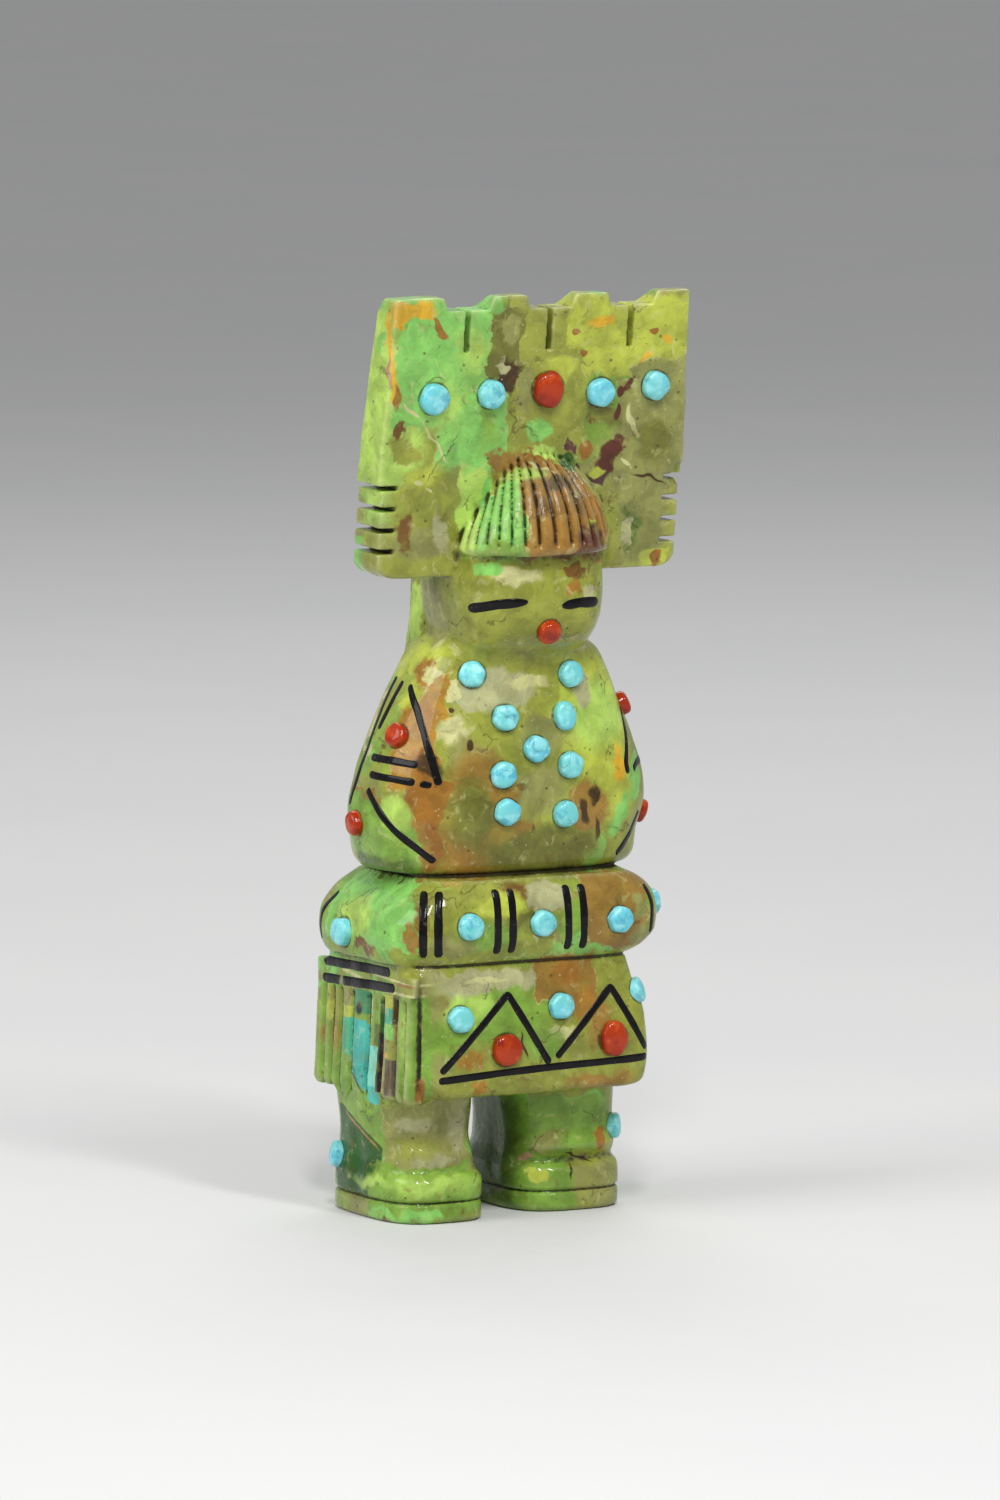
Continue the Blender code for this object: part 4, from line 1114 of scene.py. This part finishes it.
class Skin:
    """The stone's surface, met by level rays from outside. Points are in mm."""

    def __init__(self, stone):
        self.tree = BVHTree.FromPolygons(
            [v.co / MM for v in stone.data.vertices], [tuple(p.vertices) for p in stone.data.polygons]
        )

    def point(self, bearing, across, z):
        outward = Vector((math.sin(bearing), -math.cos(bearing), 0.0))
        aside = Vector((math.cos(bearing), math.sin(bearing), 0.0))
        return self.tree.ray_cast(aside * across + outward * 60 + Vector((0, 0, z)), -outward)[0]

    def seen(self, across, down):
        """Where the skin shows at that pixel of the photograph, and which way it faces there."""
        aim = CAMERA_RIGHT * (across - PHOTO_WIDTH / 2) + CAMERA_UP * (PHOTO_HEIGHT / 2 - down)
        aim -= CAMERA_BACK * FOCAL_PIXELS
        return self.tree.ray_cast(CAMERA_TARGET + CAMERA_BACK * CAMERA_DISTANCE, aim.normalized())[:2]

    def seat(self, bearing, across, z, radius):
        spread = radius * 0.7
        sides = [self.point(bearing, across + step, z) for step in (-spread, spread)]
        ends = [self.point(bearing, across, z + step) for step in (-spread, spread)]
        along = (sides[1] - sides[0]).normalized()
        out = along.cross(ends[1] - ends[0]).normalized()
        return (sides[0] + sides[1] + ends[0] + ends[1]) / 4, along, out.cross(along), out


def piece(name, points, faces, finish, replaced):
    mesh = bpy.data.meshes.new(name)
    mesh.from_pydata([tuple(c * MM for c in p) for p in points], [], faces)
    mesh.validate()
    mesh.shade_smooth()
    mesh.materials.append(finish)
    made = bpy.data.objects.new(name, mesh)
    bpy.context.scene.collection.objects.link(made)
    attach(made, "root")
    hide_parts(replaced)


def grid_faces(rings, first=0):
    """Faces of a closed skin over rings of equal counts."""
    count = len(rings[0])
    faces = []
    for n in range(len(rings) - 1):
        for i in range(count):
            j = (i + 1) % count
            corners = (n * count + i, n * count + j, (n + 1) * count + j, (n + 1) * count + i)
            faces.append(tuple(first + c for c in corners))
    faces.append(tuple(first + i for i in reversed(range(count))))
    faces.append(tuple(first + i for i in range((len(rings) - 1) * count, len(rings) * count)))
    return faces


def dot_piece(node, zone, place, radius, skin, finish, rng):
    """Domed button of stone, hand-ground: a little out of round and a little tilted."""
    degrees, across_share, up_share = place
    bearing = math.radians(degrees)
    wide, tall = DOT_SHAPES.get(node, (1.0, 1.0))
    middle, along, up, out = skin.seat(bearing, *zone.place(bearing, across_share, up_share), radius)
    lobes = rng.uniform(-DOT_WOBBLE, DOT_WOBBLE, 5)
    turns = rng.uniform(0, 2 * math.pi, 5)
    tilt = rng.uniform(-DOT_TILT, DOT_TILT, 2)
    top = DOT_RIM + DOT_DOME - DOT_SHYNESS
    rim = DOT_RIM * 0.85
    profile = [(1.0, -DOT_SUNK), (1.0, 0.0), (0.995, DOT_RIM * 0.5), (DOT_SHOULDER, rim)]
    for i in range(1, 12):
        turn = math.radians(90 * i / 12)
        profile.append((DOT_SHOULDER * math.cos(turn) ** DOT_ROUNDNESS, rim + (top - rim) * math.sin(turn)))
    profile.append((0.02, top))
    rings = []
    for share, height in profile:
        ring = []
        for i in range(DOT_STEPS):
            angle = 2 * math.pi * i / DOT_STEPS
            wobble = 1 + sum(lobes[k] * math.cos((k + 2) * angle + turns[k]) for k in range(5))
            a = math.cos(angle) * radius * share * wobble * wide
            b = math.sin(angle) * radius * share * wobble * tall
            lift = height + (a * tilt[0] + b * tilt[1] if height > 0 else 0)
            ring.append(middle + along * a + up * b + out * lift)
        rings.append(ring)
    piece("set_" + node, [p for ring in rings for p in ring], grid_faces(rings), finish, node)
    return tuple(middle), radius * (wide + tall) / 2


def course_points(course, step):
    """Points along the straight runs of a course."""
    points = [Vector(p) for p in course]
    out = [points[0]]
    for start, end in zip(points, points[1:]):
        count = max(1, round((end - start).length / step))
        out += [start.lerp(end, i / count) for i in range(1, count + 1)]
    return out


def eased(path, passes):
    """The same path with its corners rounded a little."""
    for _ in range(passes):
        path = [path[0]] + [(a + b * 2 + c) / 4 for a, b, c in zip(path, path[1:], path[2:])] + [path[-1]]
    return path


def strip_rings(zone, course, width, skin, ends, rng):
    """Rings of a flush inlaid strip that lies on the stone, with each end rounded over its own length."""
    bearing = math.radians(course[0])
    path = eased(course_points([zone.place(bearing, across, up) for across, up in course[1:]], STRIP_STEP), 3)
    crown = STRIP_PROUD * 1.3
    shape = ((-1.0, 0.0), (-0.8, STRIP_PROUD), (-0.35, crown), (0.35, crown), (0.8, STRIP_PROUD), (1.0, 0.0))
    lengths = [0.0]
    for a, b in zip(path, path[1:]):
        lengths.append(lengths[-1] + (b - a).length)
    total = lengths[-1]
    out = Vector((math.sin(bearing), -math.cos(bearing), 0.0))
    waves = []
    for _ in range(STRIP_WAVES):
        waves.append((rng.uniform(*STRIP_WAVE_PACES), rng.uniform(0, 6.28), rng.uniform(*STRIP_WAVE_SIZES)))
    rings = []
    for i, point in enumerate(path):
        along = (path[min(i + 1, len(path) - 1)] - path[max(i - 1, 0)]).normalized()
        across = Vector((-along.y, along.x))
        half = width / 2 * (1 + sum(size * math.sin(pace * lengths[i] + turn) for pace, turn, size in waves))
        for gone, ease in ((lengths[i], ends[0]), (total - lengths[i], ends[1])):
            half *= max(STRIP_END_LEAST, math.sqrt(max(0.0, 1 - max(0.0, 1 - (gone + 0.04) / ease) ** 2)))
        top = []
        for share, proud in shape:
            spot = point + across * half * share
            top.append(skin.point(bearing, spot.x, spot.y) + out * proud)
        rings.append(top + [top[-1] - out * STRIP_DEEP, top[0] - out * STRIP_DEEP])
    return rings


def strip_piece(node, zone, courses, width, skin, finish, rng, ends=None):
    points, faces = [], []
    for course in courses:
        rings = strip_rings(zone, course, width, skin, ends or (width / 2, width / 2), rng)
        faces += grid_faces(rings, len(points))
        points += [p for ring in rings for p in ring]
    piece("set_" + node, points, faces, finish, node)


def set_inlays(skin, turquoise, coral, jet):
    """Sets every dot and strip. Returns the middle and radius of each dot."""
    rng = np.random.default_rng(7)
    rows = (
        ("turquoise_tablet", TABLET, TABLET_DOTS, TABLET_DOT_RADIUS),
        ("turquoise_chest", TORSO, CHEST_DOTS, DOT_RADIUS),
        ("turquoise_belt", BELT, BELT_DOTS, DOT_RADIUS),
        ("turquoise_kilt", KILT, KILT_DOTS, DOT_RADIUS),
        ("coral_arm_right", TORSO, ARM_RIGHT_CORALS, CORAL_RADIUS),
        ("coral_arm_left", TORSO, ARM_LEFT_CORALS, CORAL_RADIUS),
        ("coral_kilt", KILT, KILT_CORALS, LARGE_CORAL_RADIUS),
    )
    dots = []
    for stem, zone, places, radius in rows:
        dots += [(f"{stem}_{n}", zone, place, radius) for n, place in enumerate(places, 1)]
    dots += (
        ("turquoise_leg_right", LEGS, LEG_RIGHT_DOT, DOT_RADIUS),
        ("turquoise_leg_left", LEGS, LEG_LEFT_DOT, DOT_RADIUS),
        ("coral_nose", FACE, NOSE, CORAL_RADIUS),
        ("coral_tablet", TABLET, TABLET_CORAL, LARGE_CORAL_RADIUS),
    )
    finishes = {"turquoise": turquoise, "coral": coral}
    seats = []
    for name, zone, place, radius in dots:
        slot = name.split("_")[0]
        seats.append(dot_piece(name, zone, place, radius, skin, finishes[slot], rng))
    bars = [(BELT_CORNER_BEARING, across) for across in BELT_CORNER_BARS]
    bars += [(0, across) for across in BELT_FRONT_BARS]
    belt_bars = [(turn, (across, BELT_BAR_TOP), (across, BELT_BAR_FOOT)) for turn, across in bars]
    strips = (
        ("jet_arm_right", TORSO, ARM_RIGHT_STRIPS, LINE_WIDTH),
        ("jet_arm_left", TORSO, ARM_LEFT_STRIPS, LINE_WIDTH),
        ("jet_belt", BELT, belt_bars, BAR_WIDTH),
        ("jet_belt_end", BELT, BELT_END_STRIPS, LINE_WIDTH),
        ("jet_sash", KILT, SASH_BARS, SASH_BAR_WIDTH),
        ("jet_kilt", KILT, KILT_STRIPS, LINE_WIDTH),
    )
    for stem, zone, courses, width in strips:
        for n, course in enumerate(courses, 1):
            name = f"{stem}_{n}"
            strip_piece(name, zone, [course] + STRIP_BITS.get(name, []), width, skin, jet, rng)
    strip_piece("jet_eye_right", FACE, [EYE_RIGHT], EYE_WIDTH, skin, jet, rng, EYE_RIGHT_ENDS)
    strip_piece("jet_eye_left", FACE, [EYE_LEFT], EYE_WIDTH, skin, jet, rng, EYE_LEFT_ENDS)
    return seats


# Materials


def linear(*colour):
    """Linear RGBA of a colour typed as 0 to 255."""
    shares = [value / 255 for value in colour]
    return (*(c / 12.92 if c <= 0.04045 else ((c + 0.055) / 1.055) ** 2.4 for c in shares), 1.0)


def noted(table):
    """Rows of a typed table: colour, shape, then numbers."""
    for row in table.strip().splitlines():
        colour, shape, *numbers = row.split()
        yield colour, shape, *map(float, numbers)


def stone_patches(solid):
    """Every patch in figure millimetres. Those noted on the photograph lie where it shows the solid."""
    made = []
    for colour, shape, across, down, half_width, half_height, turn, edge, *faced in noted(PATCHES):
        middle, normal = solid.seen(across, down)
        bearing = faced[0] if faced else math.degrees(math.atan2(normal.x, -normal.y))
        bearing = min(MOST_BEARING, max(LEAST_BEARING, BEARING_STEP * round(bearing / BEARING_STEP)))
        scale = PIXELS_PER_MM * max(LEAST_SHOWN, math.cos(CAMERA_TURN + math.radians(bearing)))
        sizes = (half_width / scale, half_height / UPRIGHT_PIXELS_PER_MM)
        made.append(Patch(colour, shape, middle, bearing, *sizes, -turn, edge))
    for colour, shape, left, right, top, bottom, turn, edge in noted(FRINGE_PATCHES):
        # The crop is taken as seen from afar, on the plane of the sash's outer face
        across = FRINGE_CORNER[0] + (left + right) / 2 / FRINGE_ZOOM - PHOTO_WIDTH / 2
        down = FRINGE_CORNER[1] + (top + bottom) / 2 / FRINGE_ZOOM - PHOTO_HEIGHT / 2
        y = (across / PIXELS_PER_MM - CAMERA_RIGHT.x * FRINGE_FACE) / CAMERA_RIGHT.y
        rise = -down / PIXELS_PER_MM - CAMERA_UP.x * FRINGE_FACE - CAMERA_UP.y * y
        middle = Vector((FRINGE_FACE, y, CAMERA_TARGET.z + rise / CAMERA_UP.z))
        scale = 2 * FRINGE_ZOOM * PIXELS_PER_MM
        sizes = ((left - right) / scale / CAMERA_RIGHT.y, (bottom - top) / scale / CAMERA_UP.z)
        made.append(Patch(colour, shape, middle, -90, *sizes, -turn, edge))
    return made + list(SASH_EDGE_PATCHES)


# Zones of the stone's material: lowest and highest X, then Z. A face takes the first that it is in.
AREAS = (
    ((-14, -8), (9.2, 13.6)),
    ((-14, -8), (13.6, 19.3)),
    ((-14, 14), (-1, 9.3)),
    ((-8, 14), (9.2, 19.4)),
    ((-14, 14), (19.3, 27)),
    ((-14, -4), (27, 43.5)),
    ((-4, 14), (27, 43.5)),
    ((-14, 14), (43.5, 50.5)),
    ((-14, 14), (50.5, 58.5)),
    ((-14, 14), (58.5, 71)),
)


class Shading:
    """One material and its nodes. Places in it are in millimetres of the figure."""

    def __init__(self, name, settings):
        self.material = bpy.data.materials.new(name)
        self.material.use_nodes = True
        self.tree = self.material.node_tree
        self.shader = self.tree.nodes["Principled BSDF"]
        for socket, value in settings.items():
            self.shader.inputs[socket].default_value = value
        self.at = self.vector("SCALE", self.node("TexCoord").outputs["Object"], scale=1 / MM)

    def node(self, kind, inputs=(), **settings):
        made = self.tree.nodes.new("ShaderNode" + kind)
        for name, value in settings.items():
            setattr(made, name, value)
        for key, value in dict(inputs).items():
            if isinstance(value, bpy.types.NodeSocket):
                self.tree.links.new(value, made.inputs[key])
            else:
                made.inputs[key].default_value = value
        return made

    def vector(self, operation, a, b=None, scale=None):
        inputs = {0: a}
        if b is not None:
            inputs[1] = b
        if scale is not None:
            inputs["Scale"] = scale
        made = self.node("VectorMath", inputs, operation=operation)
        return made.outputs["Value" if operation in ("LENGTH", "DISTANCE") else "Vector"]

    def math(self, operation, a, b=0.0):
        return self.node("Math", {0: a, 1: b}, operation=operation).outputs[0]

    def noise(self, scale, detail=2.0, at=None, output="Fac"):
        inputs = {"Vector": at or self.at, "Scale": scale, "Detail": detail, "Roughness": 0.55}
        return self.node("TexNoise", inputs).outputs[output]

    def cells(self, scale, at=None, feature="F1"):
        inputs = {"Vector": at or self.at, "Scale": scale}
        return self.node("TexVoronoi", inputs, feature=feature).outputs["Distance"]

    def remap(self, value, low, high, to_low=0.0, to_high=1.0):
        inputs = {"Value": value, "From Min": low, "From Max": high, "To Min": to_low, "To Max": to_high}
        return self.node("MapRange", inputs, interpolation_type="SMOOTHSTEP").outputs["Result"]

    def mix(self, share, a, b, blend="MIX"):
        return self.node("Mix", {0: share, 6: a, 7: b}, data_type="RGBA", blend_type=blend).outputs[2]

    def product(self, a, b):
        return self.math("MULTIPLY", a, b)

    def clouds(self, colour, tint, noise, low, high, most=1.0):
        """The colour with the tint over it in clouds, which thicken as the noise goes from low to high."""
        return self.mix(self.remap(noise, low, high, 0, most), colour, tint)

    def warped(self, at, scale, reach):
        """Places moved about by noise, reach mm across."""
        drift = self.vector("SUBTRACT", self.noise(scale, 1.0, at, "Color"), (0.5, 0.5, 0.5))
        return self.vector("ADD", at, self.vector("SCALE", drift, scale=reach))

    def finish(self, colour, roughness, height, depth):
        """Depth is the bump's, in mm."""
        bump = self.node("Bump", {"Height": height, "Distance": depth * MM, "Strength": 1.0})
        links = self.tree.links
        links.new(colour, self.shader.inputs["Base Color"])
        links.new(roughness, self.shader.inputs["Roughness"])
        links.new(bump.outputs["Normal"], self.shader.inputs["Normal"])
        return self.material


def add_patch(s, colour, patch, at, seam):
    """The colour with one patch over it, and with a fine broken seam round a large sharp one."""
    size = max(patch.across, patch.up)
    deep = 4.0 if size > 5.5 else min(3.2, max(1.2, 0.6 * size))
    place = {
        "Vector": at,
        "Location": patch.middle,
        "Rotation": (0.0, math.radians(patch.tilt), math.radians(patch.bearing)),
        "Scale": (patch.across, deep, patch.up),
    }
    local = s.node("Mapping", place, vector_type="TEXTURE").outputs[0]
    if patch.shape in SQUARE_SHAPES:
        sides = s.node("SeparateXYZ", {0: s.vector("ABSOLUTE", local)}).outputs
        far = s.math("MAXIMUM", s.math("MAXIMUM", sides[0], sides[1]), sides[2])
    else:
        far = s.vector("LENGTH", local)
    colour = s.mix(s.remap(far, 1 + patch.edge, 1 - patch.edge), colour, linear(*COLOURS[patch.colour]))
    if patch.edge <= 0.12 and size > 1.5 and patch.shape not in STILL_SHAPES:
        line = s.remap(s.math("ABSOLUTE", s.math("SUBTRACT", far, 1.0)), 0.12 / size, 0.0)
        tint = linear(*COLOURS["tan" if patch.colour in TAN_SEAMS else "cream"])
        colour = s.mix(s.product(line, s.remap(seam, 0.45, 0.6, 0, 0.6)), colour, tint)
    return colour


def green_stone(wide, tall, patches, seats):
    """The stone in one zone, with the patches and dots that reach in there."""
    settings = {"Coat Weight": 0.42, "Coat Roughness": 0.06, "Specular IOR Level": 0.1}
    s = Shading(f"green_stone_{wide[0]}_{tall[0]:.0f}", settings)

    def inside(place, reach):
        x, _, z = place
        return wide[0] - reach < x < wide[1] + reach and tall[0] - reach < z < tall[1] + reach

    tone = {name: linear(*value) for name, value in COLOURS.items()}
    broad = s.warped(s.at, 0.25, 1.3)
    near = s.warped(s.warped(broad, 0.7, 1.6), 2.6, 0.5)
    small = s.warped(s.warped(s.at, 1.1, 1.3), 3.6, 0.35)
    wavy = s.warped(s.at, 0.6, 1.2)
    still = s.warped(s.at, 3.0, 0.12)
    ragged = s.noise(1.2, 3)

    def moved(*by):
        return s.vector("ADD", near, by)

    colour = s.clouds(tone["leaf"], tone["olive"], s.noise(0.11, 3, broad), 0.42, 0.58)
    colour = s.clouds(colour, tone["khaki"], s.noise(0.21, 4, near), 0.52, 0.64)
    colour = s.clouds(colour, tone["green"], s.noise(0.16, 3, moved(31.0, 7.0, 3.0)), 0.56, 0.62)
    colour = s.clouds(colour, tone["brown"], s.noise(0.3, 4, moved(5.0, 43.0, 9.0)), 0.62, 0.68)
    for patch in patches:
        size = max(patch.across, patch.up)
        steady = patch.shape in STILL_SHAPES
        half = math.hypot(patch.across, patch.up) if patch.shape in SQUARE_SHAPES else size
        if inside(patch.middle, half * (1 + patch.edge) + (0.2 if steady else 0.6)):
            lively = wavy if min(patch.across, patch.up) < 0.35 else near if size > 1.3 else small
            colour = add_patch(s, colour, patch, still if steady else lively, ragged)

    # Mottling, hair cracks and specks of the matrix
    colour = s.clouds(colour, tone["olive"], s.noise(0.8, 3, near), 0.56, 0.72, 0.35)
    colour = s.clouds(colour, tone["cream"], s.noise(1.1, 3, moved(11.0, 3.0, 17.0)), 0.58, 0.74, 0.4)
    colour = s.clouds(colour, tone["brown"], s.noise(0.9, 3, moved(2.0, 23.0, 5.0)), 0.6, 0.74, 0.45)
    value = s.remap(s.noise(0.55, 4, near), 0.25, 0.75, 0.72, 1.25)
    shade = s.node("CombineXYZ", {0: value, 1: value, 2: s.product(value, BLUE_SHARE)}).outputs[0]
    colour = s.mix(1.0, colour, shade, "MULTIPLY")
    crack = s.remap(s.cells(0.16, near, "DISTANCE_TO_EDGE"), 0.014, 0.003)
    crack = s.product(crack, s.remap(s.noise(0.3, 3), 0.52, 0.62))
    colour = s.mix(s.product(crack, 0.5), colour, tone["umber"])
    speck = s.product(s.remap(s.cells(1.3), 0.2, 0.1), s.remap(s.noise(0.6, 2), 0.52, 0.62))
    colour = s.mix(s.product(speck, 0.65), colour, tone["umber"])
    fleck = s.remap(s.cells(1.7, s.vector("ADD", s.at, (4.0, 4.0, 4.0))), 0.17, 0.08)
    fleck = s.product(fleck, s.remap(s.noise(0.5, 2), 0.5, 0.42))
    colour = s.mix(s.product(fleck, 0.5), colour, tone["cream"])

    # Painted shade in grooves and round dots, the dot rings partly glue; painted highlight on edges
    hollow = s.node("Attribute", attribute_name="hollow").outputs["Fac"]
    shade_and_grime = s.remap(s.math("ADD", hollow, s.remap(s.noise(2.5, 3), 0.3, 0.7, -0.03, 0.03)), 0.03, 0.15)
    # Ring round each dot: painted contact shadow, partly glue
    ring = 0.0
    for middle, radius in seats:
        if inside(middle, radius * 1.3):
            close = s.remap(s.vector("DISTANCE", s.at, middle), radius * 1.17, radius * 1.03)
            ring = s.math("MAXIMUM", ring, close)
    ring = s.product(ring, s.remap(s.noise(1.3, 2), 0.35, 0.55, 0.35, 0.9))
    shade_and_grime = s.math("MAXIMUM", shade_and_grime, ring)
    # Cream on convex edges: a painted highlight
    colour = s.mix(s.remap(hollow, -0.03, -0.16, 0, 0.3), colour, tone["cream"])
    colour = s.mix(s.product(shade_and_grime, 0.88), colour, tone["shade_and_soot"])

    flaw = s.math("MAXIMUM", speck, crack)
    rough = s.math("ADD", s.remap(s.noise(1.4, 4), 0.3, 0.7, 0.2, 0.4), s.product(shade_and_grime, 0.35))
    rough = s.math("ADD", rough, s.product(flaw, 0.2))
    height = s.math("ADD", s.product(s.noise(0.9, 4), 1.6), s.product(s.noise(7.0, 3), 0.16))
    height = s.math("SUBTRACT", height, s.product(flaw, 0.5))
    pit = s.product(s.remap(s.cells(2.6), 0.16, 0.05), s.remap(s.noise(0.45, 3), 0.5, 0.6))
    return s.finish(colour, rough, s.math("SUBTRACT", height, pit), 0.07)


def dress_stone(stone, patches, seats):
    """One pattern, divided into zones so that each material holds few patches."""
    mesh = stone.data
    for wide, tall in AREAS:
        mesh.materials.append(green_stone(wide, tall, patches, seats))
    points = np.empty(len(mesh.vertices) * 3)
    mesh.vertices.foreach_get("co", points)
    first = np.empty(len(mesh.polygons), np.int32)
    mesh.polygons.foreach_get("loop_start", first)
    corners = np.empty(len(mesh.loops), np.int32)
    mesh.loops.foreach_get("vertex_index", corners)
    x, _, z = points.reshape(-1, 3)[corners[first]].T / MM
    zone = np.full(len(first), len(AREAS) - 1, np.int32)
    for n in reversed(range(len(AREAS))):
        wide, tall = AREAS[n]
        zone[(x >= wide[0]) & (x <= wide[1]) & (z >= tall[0]) & (z <= tall[1])] = n
    mesh.polygons.foreach_set("material_index", zone)


def turquoise_stone():
    s = Shading("turquoise_fine", {"Coat Weight": 0.25, "Coat Roughness": 0.15})
    near = s.warped(s.at, 1.6, 0.5)
    apart = s.vector("ADD", near, (9.0, 2.0, 4.0))
    colour = s.clouds(linear(104, 200, 216), linear(112, 204, 202), s.noise(0.25, 2), 0.4, 0.6)
    colour = s.clouds(colour, linear(150, 226, 230), s.noise(1.3, 4, near), 0.45, 0.62, 0.75)
    colour = s.clouds(colour, linear(66, 164, 188), s.noise(0.9, 3, apart), 0.57, 0.68, 0.7)
    vein = s.remap(s.cells(0.55, near, "DISTANCE_TO_EDGE"), 0.035, 0.008)
    vein = s.product(vein, s.remap(s.noise(0.7, 2), 0.5, 0.62))
    colour = s.mix(s.product(vein, 0.4), colour, linear(92, 104, 84))
    rough = s.remap(s.noise(2.0, 3), 0.3, 0.7, 0.26, 0.46)
    return s.finish(colour, rough, s.math("SUBTRACT", s.noise(3.0, 4), s.product(vein, 0.6)), 0.03)


def coral_stone():
    s = Shading("coral_fine", {"Coat Weight": 0.5, "Coat Roughness": 0.03, "Specular IOR Level": 0.1})
    near = s.warped(s.at, 1.2, 0.5)
    apart = s.vector("ADD", near, (3.0, 8.0, 1.0))
    colour = s.clouds(linear(156, 40, 6), linear(172, 54, 10), s.noise(0.2, 2), 0.42, 0.58)
    colour = s.clouds(colour, linear(200, 80, 28), s.noise(1.0, 4, near), 0.5, 0.66, 0.7)
    colour = s.clouds(colour, linear(120, 20, 8), s.noise(0.8, 4, apart), 0.52, 0.68, 0.7)
    pore = s.remap(s.cells(3.2, near), 0.14, 0.05)
    colour = s.mix(s.product(pore, 0.5), colour, linear(110, 22, 12))
    rough = s.remap(s.noise(1.5, 3), 0.3, 0.7, 0.1, 0.24)
    return s.finish(colour, rough, s.math("SUBTRACT", s.noise(1.6, 3), s.product(pore, 0.5)), 0.035)


def jet_stone():
    s = Shading("jet_fine", {"Coat Weight": 0.25, "Coat Roughness": 0.05, "Specular IOR Level": 0.1})
    near = s.warped(s.at, 0.8, 0.6)
    colour = s.clouds(linear(8, 6, 8), linear(20, 15, 18), s.noise(0.7, 4, near), 0.45, 0.7)
    colour = s.clouds(colour, linear(96, 88, 82), s.noise(1.6, 4, near), 0.62, 0.74, 0.5)
    place = {"Vector": near, "Location": JET_GAP, "Scale": JET_GAP_SIZE}
    gap = s.vector("LENGTH", s.node("Mapping", place, vector_type="TEXTURE").outputs[0])
    colour = s.clouds(colour, linear(128, 132, 96), gap, 1.15, 0.85)
    rough = s.remap(s.noise(1.8, 4), 0.3, 0.7, 0.16, 0.42)
    scratch = s.noise(4.0, 2, s.vector("MULTIPLY", s.at, (1.0, 1.0, 0.15)))
    return s.finish(colour, rough, s.math("ADD", s.noise(1.5, 3), s.product(scratch, 0.3)), 0.06)


def floor_paint():
    s = Shading("pale_floor", {})
    colour = s.clouds(linear(210, 210, 209), linear(213, 212, 211), s.noise(0.02, 4), 0.3, 0.7)
    return s.finish(colour, s.remap(s.noise(0.3, 3), 0.3, 0.7, 0.75, 0.9), s.noise(1.5, 2), 0.02)


# Camera, floor and light

# Each light's name, bearing, rise, size in metres and power
LIGHTS = (
    ("key_left", -26, 46, (0.045, 0.18), 1.08),
    ("key_right", 6, 48, (0.045, 0.18), 1.03),
    ("side", -88, 32, (0.32, 0.32), 1.35),
    ("behind", 150, 50, (0.3, 0.3), 0.8),
)
LIGHT_DISTANCE = 0.55
LIGHT_AIM = Vector((0, 0, 0.035))
FLOOR_HALF = 8.0
SKY_COLOUR = (0.93, 0.94, 0.96, 1)
SKY_STRENGTH = 0.42


def add_camera():
    data = bpy.data.cameras.new("camera")
    data.lens = CAMERA_LENS
    data.sensor_width = CAMERA_SENSOR
    data.sensor_fit = "AUTO"
    data.clip_start = 0.01
    data.clip_end = 100.0
    camera = bpy.data.objects.new("camera", data)
    camera.location = (CAMERA_TARGET + CAMERA_BACK * CAMERA_DISTANCE) * MM
    camera.rotation_euler = CAMERA_BACK.to_track_quat("Z", "Y").to_euler()
    bpy.context.scene.collection.objects.link(camera)
    bpy.context.scene.camera = camera


def add_light(name, bearing, rise, size, power):
    """A soft box that looks at the figure's middle. Bearing and rise are in degrees."""
    data = bpy.data.lights.new(name, "AREA")
    data.shape = "RECTANGLE"
    data.size, data.size_y = size
    data.energy = power
    light = bpy.data.objects.new(name, data)
    bearing, rise = math.radians(bearing), math.radians(rise)
    aim = Vector((math.sin(bearing) * math.cos(rise), -math.cos(bearing) * math.cos(rise), math.sin(rise)))
    light.location = aim * LIGHT_DISTANCE + LIGHT_AIM
    light.rotation_euler = aim.to_track_quat("Z", "Y").to_euler()
    bpy.context.scene.collection.objects.link(light)


def add_stage():
    mesh = bpy.data.meshes.new("floor")
    corners = [(x * FLOOR_HALF, y * FLOOR_HALF, 0) for x, y in ((-1, -1), (1, -1), (1, 1), (-1, 1))]
    mesh.from_pydata(corners, [], [(0, 1, 2, 3)])
    mesh.materials.append(floor_paint())
    floor = bpy.data.objects.new("floor", mesh)
    bpy.context.scene.collection.objects.link(floor)
    world = bpy.data.worlds.new("studio")
    world.use_nodes = True
    background = world.node_tree.nodes["Background"].inputs
    background["Color"].default_value = SKY_COLOUR
    background["Strength"].default_value = SKY_STRENGTH
    bpy.context.scene.world = world
    for light in LIGHTS:
        add_light(*light)
    bpy.context.scene.view_settings.view_transform = "Standard"


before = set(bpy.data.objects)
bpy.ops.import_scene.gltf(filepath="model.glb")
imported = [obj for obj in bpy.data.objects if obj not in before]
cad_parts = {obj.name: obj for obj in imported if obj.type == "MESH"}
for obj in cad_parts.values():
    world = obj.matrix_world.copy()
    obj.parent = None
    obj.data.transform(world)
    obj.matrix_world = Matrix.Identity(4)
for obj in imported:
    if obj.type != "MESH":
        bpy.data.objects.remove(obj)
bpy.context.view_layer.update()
patches = stone_patches(Skin(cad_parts["stone_figure"]))
stone = stone_object()
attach(stone, "root")
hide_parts("stone_figure")
seats = set_inlays(Skin(stone), turquoise_stone(), coral_stone(), jet_stone())
dress_stone(stone, patches, seats)
add_stage()
add_camera()
